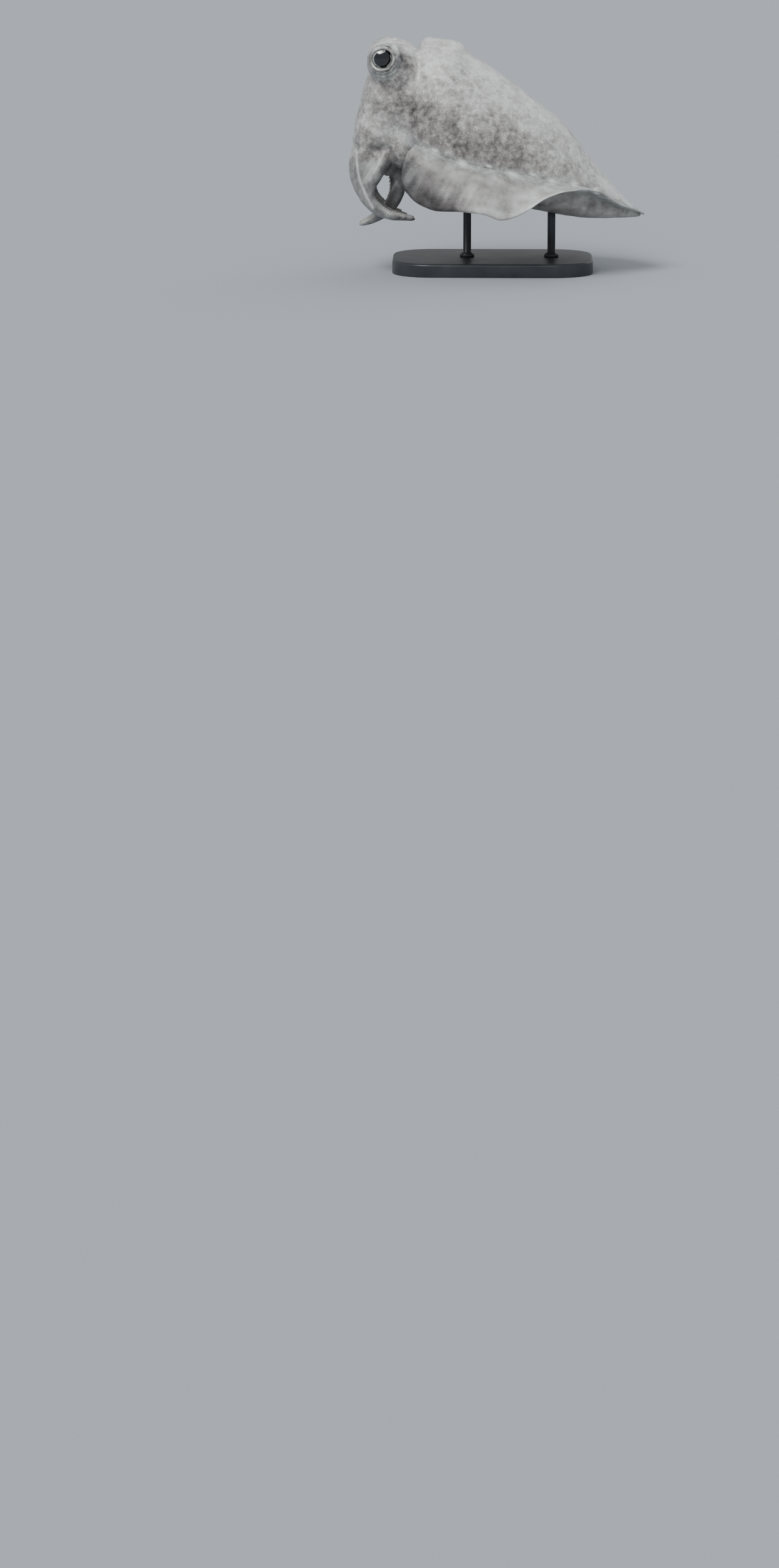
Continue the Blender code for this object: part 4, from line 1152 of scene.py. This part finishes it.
def add_eye_markings(mesh):
    """Store pupil, iris brightness and distance from the axis at every corner of an eyeball."""
    points = points_of(mesh)
    off, forward, upward = eye_offset(points)
    around = np.arctan2(upward, forward)
    colours = np.ones((len(points), 4), np.float32)
    colours[:, 0] = pupil_mask(forward, upward) * (np.abs(points[:, 1]) > EYE_CENTRE[1])
    colours[:, 1] = np.clip(0.55 + 0.35 * np.sin(around * 26 + 3 * np.sin(around * 7)), 0, 1)
    colours[:, 2] = np.clip(off / EYE_RADIUS, 0, 1)
    store_markings(mesh, colours)


def mouth_shapes():
    """Two rings of lips with radial wrinkles, inside the crown of arms."""
    turns, roll = full_turn(LIP_GRID[0]), full_turn(LIP_GRID[1])
    shapes = []
    for scale, low, thick, wrinkles, deep in LIPS:
        fold = 1 + deep * 0.35 * np.sin(turns * wrinkles)[:, None] * np.clip(-np.sin(roll), 0, 1)
        ring = scale + thick * fold * np.cos(roll) / MOUTH_RADII[1]
        reach = MOUTH_RADII[0] * scale + thick * fold * np.cos(roll) * LIP_FLATNESS
        x = CROWN_X + reach * np.cos(turns)[:, None]
        y = MOUTH_RADII[1] * ring * np.sin(turns)[:, None]
        z = CROWN_Z + low + thick * LIP_HEIGHT * fold * np.sin(roll) + 0 * x
        faces = grid_faces(*LIP_GRID, rows_closed=True)
        shapes.append((np.stack((x, y, z), -1).reshape(-1, 3), faces))
    return joined(shapes)


def beak_shape():
    """Two curved jaws: half cones that hook towards each other."""
    share = np.linspace(0, 1, BEAK_GRID[0])[:, None]
    turns = full_turn(BEAK_GRID[1])
    wide = 3.2 * (1 - share ** 1.6) + 0.15
    deep = 2.0 * (1 - share ** 1.3) + 0.12
    shapes = []
    for way, length in BEAK_JAWS:
        x = CROWN_X + way * (1.5 - 2.3 * share ** 2) + deep * np.cos(turns)
        y = wide * np.sin(turns) + 0 * share
        z = CROWN_Z - BEAK_DEPTH - length * share + 0 * turns
        shapes.append(closed_tube(np.stack(np.broadcast_arrays(x, y, z), -1)))
    return joined(shapes)


def base_shape():
    """Stand base: a rounded rectangle carried up a profile with rounded rims."""
    half_x, half_y = BASE_SIZE[0] / 2 - BASE_CORNER, BASE_SIZE[1] / 2 - BASE_CORNER
    arc = np.linspace(0, math.pi / 2, 25)
    signs = ((1, 1), (-1, 1), (-1, -1), (1, -1))
    turn = np.concatenate([arc + quarter * math.pi / 2 for quarter in range(4)])
    cx = np.repeat([sign * half_x for sign, _ in signs], len(arc))
    cy = np.repeat([sign * half_y for _, sign in signs], len(arc))
    rim = BASE_RIM
    bow = np.linspace(0, math.pi / 2, 9)
    profile = list(BASE_FOOT)
    profile += [(BASE_SIZE[2] - rim + rim * math.sin(b), rim * (1 - math.cos(b))) for b in bow]
    profile += [(BASE_SIZE[2], inset) for inset in BASE_TOP_INSETS]
    rings = []
    for height, inset in profile:
        x = BASE_X + cx + (BASE_CORNER - inset) * np.cos(turn)
        y = cy + (BASE_CORNER - inset) * np.sin(turn)
        rings.append(np.stack((x, y, np.full(len(x), height - SHIFT[2])), -1))
    return closed_tube(np.array(rings))


def rod_shape(xi):
    """Upright rod with a collar at its foot, its profile turned round its axis, its top in the belly."""
    top = body_point(xi, value_along(BELLY_LINE, xi), 0.0)
    foot = BASE_SIZE[2] - SHIFT[2]
    reach = top[2] - foot
    profile = ROD_COLLAR + tuple((reach + end, ROD_RADIUS) for end in ROD_ENDS)
    height, radius = np.array(profile).T[..., None]
    turns = full_turn(ROD_SIDES)
    x = top[0] + radius * np.cos(turns)
    return closed_tube(np.stack((x, radius * np.sin(turns), foot + height + 0 * x), -1))


# Materials


def feed(tree, made, values):
    """Give a node's inputs numbers, colours or links from other nodes, by their names or places."""
    for key, value in values.items():
        socket = made.inputs[key]
        if isinstance(value, bpy.types.NodeSocket):
            tree.links.new(value, socket)
        elif socket.type == "RGBA":
            socket.default_value = (*value, 1)
        else:
            socket.default_value = value


def node(tree, kind, values, **settings):
    """New node with its own settings and then its inputs."""
    made = tree.nodes.new(kind)
    for key, value in settings.items():
        setattr(made, key, value)
    feed(tree, made, values)
    return made


def ramp(tree, share, stops):
    """Colour read by a share from a ramp with the given places and colours."""
    made = node(tree, "ShaderNodeValToRGB", {"Fac": share})
    elements = made.color_ramp.elements
    elements[0].position, elements[0].color = stops[0][0], (*stops[0][1], 1)
    elements[1].position, elements[1].color = stops[-1][0], (*stops[-1][1], 1)
    for place, colour in stops[1:-1]:
        elements.new(place).color = (*colour, 1)
    return made.outputs["Color"]


def maths(tree, operation, first, second, clamp=False):
    """Result of a calculation with two sockets or numbers."""
    values = {0: first, 1: second}
    return node(tree, "ShaderNodeMath", values, operation=operation, use_clamp=clamp).outputs[0]


def times(tree, first, second):
    """Product of two sockets or numbers."""
    return maths(tree, "MULTIPLY", first, second)


def plus(tree, first, second, clamp=False):
    """Sum of two sockets or numbers."""
    return maths(tree, "ADD", first, second, clamp)


def mixed(tree, share, first, second):
    """Colour mix of two sockets or colours by a share."""
    values = {0: share, 6: first, 7: second}
    return node(tree, "ShaderNodeMix", values, data_type="RGBA").outputs[2]


def own_place(tree):
    """The object's own coordinates."""
    return tree.nodes.new("ShaderNodeTexCoord").outputs["Object"]


def noise(tree, place, scale, detail, rough=0.5):
    """Noise from 0 to 1 over the given coordinates."""
    values = {"Vector": place, "Scale": scale, "Detail": detail, "Roughness": rough}
    return node(tree, "ShaderNodeTexNoise", values).outputs["Fac"]


def bumped(tree, height, distance, strength):
    """A shader's normal, bent by a height."""
    values = {"Height": height, "Distance": distance, "Strength": strength}
    return node(tree, "ShaderNodeBump", values).outputs["Normal"]


def markings_in(tree):
    """The four values stored in a mesh's markings."""
    stored = node(tree, "ShaderNodeAttribute", {}, attribute_name="markings")
    split = node(tree, "ShaderNodeSeparateColor", {"Color": stored.outputs["Color"]})
    return split.outputs[0], split.outputs[1], split.outputs[2], stored.outputs["Alpha"]


def flesh_grain_group():
    """Shared effect: mottles, colour-cell specks and fine height of living skin."""
    tree = bpy.data.node_groups.new("flesh_grain", "ShaderNodeTree")
    tree.interface.new_socket("Vector", in_out="INPUT", socket_type="NodeSocketVector")
    for name in ("Mottle", "Cloud", "Specks", "Height"):
        tree.interface.new_socket(name, in_out="OUTPUT", socket_type="NodeSocketFloat")
    place = tree.nodes.new("NodeGroupInput").outputs["Vector"]
    mottle = noise(tree, place, 270.0, 6.0, 0.64)
    cloud = noise(tree, place, 105.0, 3.0)
    fine = noise(tree, place, 1500.0, 3.0, 0.6)
    cells = node(tree, "ShaderNodeTexVoronoi", {"Vector": place, "Scale": 820.0}).outputs["Distance"]
    near = maths(tree, "LESS_THAN", cells, 0.33)
    specks = times(tree, near, maths(tree, "GREATER_THAN", mottle, 0.47))
    height = plus(tree, plus(tree, times(tree, cells, 0.5), fine), times(tree, mottle, 1.2))
    node(tree, "NodeGroupOutput", {"Mottle": mottle, "Cloud": cloud, "Specks": specks, "Height": height})
    return tree


def blank_material(name):
    """New material with nothing but its shader, and that material's tree and shader."""
    material = bpy.data.materials.new(name)
    material.use_nodes = True
    tree = material.node_tree
    return material, tree, tree.nodes["Principled BSDF"]


def grain_in(tree, group):
    """Outputs of the shared grain, placed in a material on the object's own coordinates."""
    return node(tree, "ShaderNodeGroup", {"Vector": own_place(tree)}, node_tree=group).outputs


def skin_material(name, grain):
    """Living skin: stored tone broken up by mottles and specks, with white marks and a blue-green gleam."""
    material, tree, shader = blank_material(name)
    cells = grain_in(tree, grain)
    stored, gleam, white, strength = markings_in(tree)
    mottle = times(tree, maths(tree, "SUBTRACT", cells["Mottle"], 0.5), 1.2)
    cloud = times(tree, maths(tree, "SUBTRACT", cells["Cloud"], 0.5), 0.75)
    tone = plus(tree, plus(tree, stored, times(tree, mottle, strength)), cloud, clamp=True)
    specks = times(tree, times(tree, cells["Specks"], strength), 0.40)
    colour = mixed(tree, specks, ramp(tree, tone, SKIN_STOPS), SPECK_COLOUR)
    colour = mixed(tree, times(tree, gleam, times(tree, cells["Cloud"], 0.55)), colour, GLEAM_COLOUR)
    feed(tree, shader, {
        "Base Color": mixed(tree, white, colour, WHITE_COLOUR),
        "Roughness": plus(tree, times(tree, cells["Mottle"], 0.22), 0.30),
        "Coat Weight": 0.22,
        "Coat Roughness": 0.22,
        "Subsurface Weight": 0.12,
        "Subsurface Radius": (0.004, 0.003, 0.0025),
        "Subsurface Scale": 1.0,
        "Normal": bumped(tree, cells["Height"], 0.00035, 0.45),
    })
    return material


def eye_material():
    """Eye: a black pupil in a silvery iris with fine rays, under a wet clear coat."""
    material, tree, shader = blank_material("eye_wet")
    pupil, rays, _, _ = markings_in(tree)
    bright = times(tree, rays, noise(tree, own_place(tree), 900.0, 4.0))
    feed(tree, shader, {
        "Base Color": mixed(tree, pupil, ramp(tree, bright, IRIS_STOPS), PUPIL_COLOUR),
        "Roughness": maths(tree, "SUBTRACT", 0.32, times(tree, pupil, 0.24)),
        "Metallic": times(tree, maths(tree, "SUBTRACT", 1.0, pupil), 0.35),
        "Coat Weight": 1.0,
        "Coat Roughness": 0.03,
    })
    return material


def plain_flesh(grain, name, dark, light, rough, bump):
    """Flesh of one hue, mottled between a dark and a light colour."""
    material, tree, shader = blank_material(name)
    cells = grain_in(tree, grain)
    feed(tree, shader, {
        "Base Color": ramp(tree, cells["Mottle"], ((0.25, dark), (0.75, light))),
        "Roughness": rough,
        "Coat Weight": 0.3,
        "Coat Roughness": 0.15,
        "Normal": bumped(tree, cells["Height"], bump, 0.4),
    })
    return material


def metal_material():
    """Dark satin paint on metal, with a fine orange-peel height and slightly uneven gloss."""
    material, tree, shader = blank_material("stand_paint")
    place = own_place(tree)
    peel = noise(tree, place, 1400.0, 2.0)
    broad = noise(tree, place, 60.0, 3.0)
    feed(tree, shader, {
        "Base Color": ramp(tree, broad, PAINT_STOPS),
        "Roughness": plus(tree, times(tree, broad, 0.15), 0.33),
        "Metallic": 0.4,
        "Normal": bumped(tree, peel, 0.00008, 0.35),
    })
    return material


def floor_material():
    """Pale matt floor."""
    material, tree, shader = blank_material("floor_pale")
    feed(tree, shader, {"Base Color": FLOOR_COLOUR, "Roughness": 0.9, "Specular IOR Level": 0.2})
    return material


# Pieces


def build_skin(material):
    """One skin over mantle, head, arms, funnel, lids and fins, the fins' corners last."""
    mesh = fused_body()
    ease_joints(mesh)
    mould_skin(mesh)
    smoothed(mesh, 1, 0.3)
    extras = [lid_shape(-1), lid_shape(1), fin_shape(LEFT_EDGE_LEVEL, -1), fin_shape(RIGHT_EDGE_LEVEL, 1)]
    parts = [thinned(mesh, SKIN_TRIANGLES)]
    parts += [make_mesh("extra", points, faces) for points, faces in extras]
    whole = joined_mesh(parts)
    whole.name = "skin"
    whole.shade_smooth()
    share = fin_corner_shares()
    before_fins = np.zeros(len(whole.vertices) - len(share))
    on_fin = np.concatenate((before_fins, np.ones(len(share))))
    add_markings(whole, on_fin, np.concatenate((before_fins, share)))
    return make_piece("skin", whole, material)


def all_suckers():
    """Suckers of all arms as one shape, their sizes drawn arm after arm."""
    draw = np.random.default_rng(SUCKER_SEED)
    return joined([sucker_shapes(pair, side, draw) for pair, side in ARM_ORDER])


def build_piece(name, shape, material, slot, *replaced, mark=None):
    """Piece of one shape, carried by the one body, in place of the nodes that it stands for."""
    mesh = make_mesh(name, *shape)
    if mark:
        mark(mesh)
    tie(make_piece(name, mesh, material), slot, *replaced)


def tie(piece, slot, *replaced):
    """Carry a piece by the one body and hide the nodes that it replaces; the slot is not used."""
    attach(piece, "root")
    if replaced:
        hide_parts(*replaced)


def build_floor():
    """Pale floor, a large square."""
    mesh = bpy.data.meshes.new("floor")
    half = FLOOR_HALF
    corners = [(-half, -half, 0), (half, -half, 0), (half, half, 0), (-half, half, 0)]
    mesh.from_pydata(corners, [], [(0, 1, 2, 3)])
    make_piece("floor", mesh, floor_material())


def build_light():
    """Soft sky and three soft lights; the fill light isn't mirrored in wet or glossy things."""
    world = bpy.data.worlds.new("sky")
    bpy.context.scene.world = world
    world.use_nodes = True
    sky = world.node_tree.nodes["Background"]
    feed(world.node_tree, sky, {"Color": SKY_COLOUR, "Strength": SKY_STRENGTH})
    for name, place, spread, power in SUNS:
        lamp = bpy.data.lights.new(name, "SUN")
        lamp.angle = spread
        lamp.energy = power
        thing = bpy.data.objects.new(name, lamp)
        bpy.context.scene.collection.objects.link(thing)
        thing.location = place
        thing.visible_glossy = name != "fill"
        thing.rotation_mode = "QUATERNION"
        thing.rotation_quaternion = Vector([-c for c in place]).to_track_quat("-Z", "Y")


def build_camera():
    """Camera at the photo's angle, turned so that the animal lies at the photo's place in the frame."""
    across = SUBJECT_PIXEL[0] - FRAME_SIZE[0] / 2
    above = FRAME_SIZE[1] / 2 - SUBJECT_PIXEL[1]
    focal = PIXELS_PER_METRE * CAMERA_DISTANCE
    for _ in range(FOCAL_ROUNDS):
        stretch = math.sqrt(1 + (across ** 2 + above ** 2) / focal ** 2)
        focal = PIXELS_PER_METRE * CAMERA_DISTANCE / stretch
    back = Vector((0.0, -math.cos(CAMERA_RISE), math.sin(CAMERA_RISE)))
    pitch = -CAMERA_RISE - math.atan(above / focal)
    turn = math.atan(across / math.hypot(focal, above))
    camera = bpy.data.cameras.new("camera")
    camera.sensor_width = SENSOR_WIDTH
    camera.lens = focal / FRAME_SIZE[1] * SENSOR_WIDTH
    camera.clip_end = CLIP_END
    thing = bpy.data.objects.new("camera", camera)
    bpy.context.scene.collection.objects.link(thing)
    upright = Matrix.Rotation(math.pi / 2 + pitch, 3, "X")
    thing.rotation_mode = "QUATERNION"
    thing.rotation_quaternion = (Matrix.Rotation(turn, 3, "Z") @ upright).to_quaternion()
    thing.location = Vector(SUBJECT_POINT) + back * CAMERA_DISTANCE
    bpy.context.scene.camera = thing


def build():
    """Make every piece, tie it to the frame and set the stage."""
    grain = flesh_grain_group()
    tie(build_skin(skin_material("skin_living", grain)), "skin", *FLESH_NODES)
    build_piece("suckers", all_suckers(), plain_flesh(grain, *SUCKER_FLESH), "skin")
    wet = eye_material()
    for name, side in (("eye_left", -1), ("eye_right", 1)):
        build_piece(name + "_ball", eyeball_shape(side), wet, "eye", name, mark=add_eye_markings)
    build_piece("lips", mouth_shapes(), plain_flesh(grain, *LIP_FLESH), "lips", "mouth")
    build_piece("beak", beak_shape(), plain_flesh(grain, *BEAK_HORN), "lips")
    paint = metal_material()
    build_piece("stand_base_shell", base_shape(), paint, "stand_metal", "stand_base")
    for name, xi in ROD_STATIONS:
        build_piece(name, rod_shape(xi), paint, "stand_metal", "stand_" + name)
    build_floor()
    build_light()
    build_camera()


build()
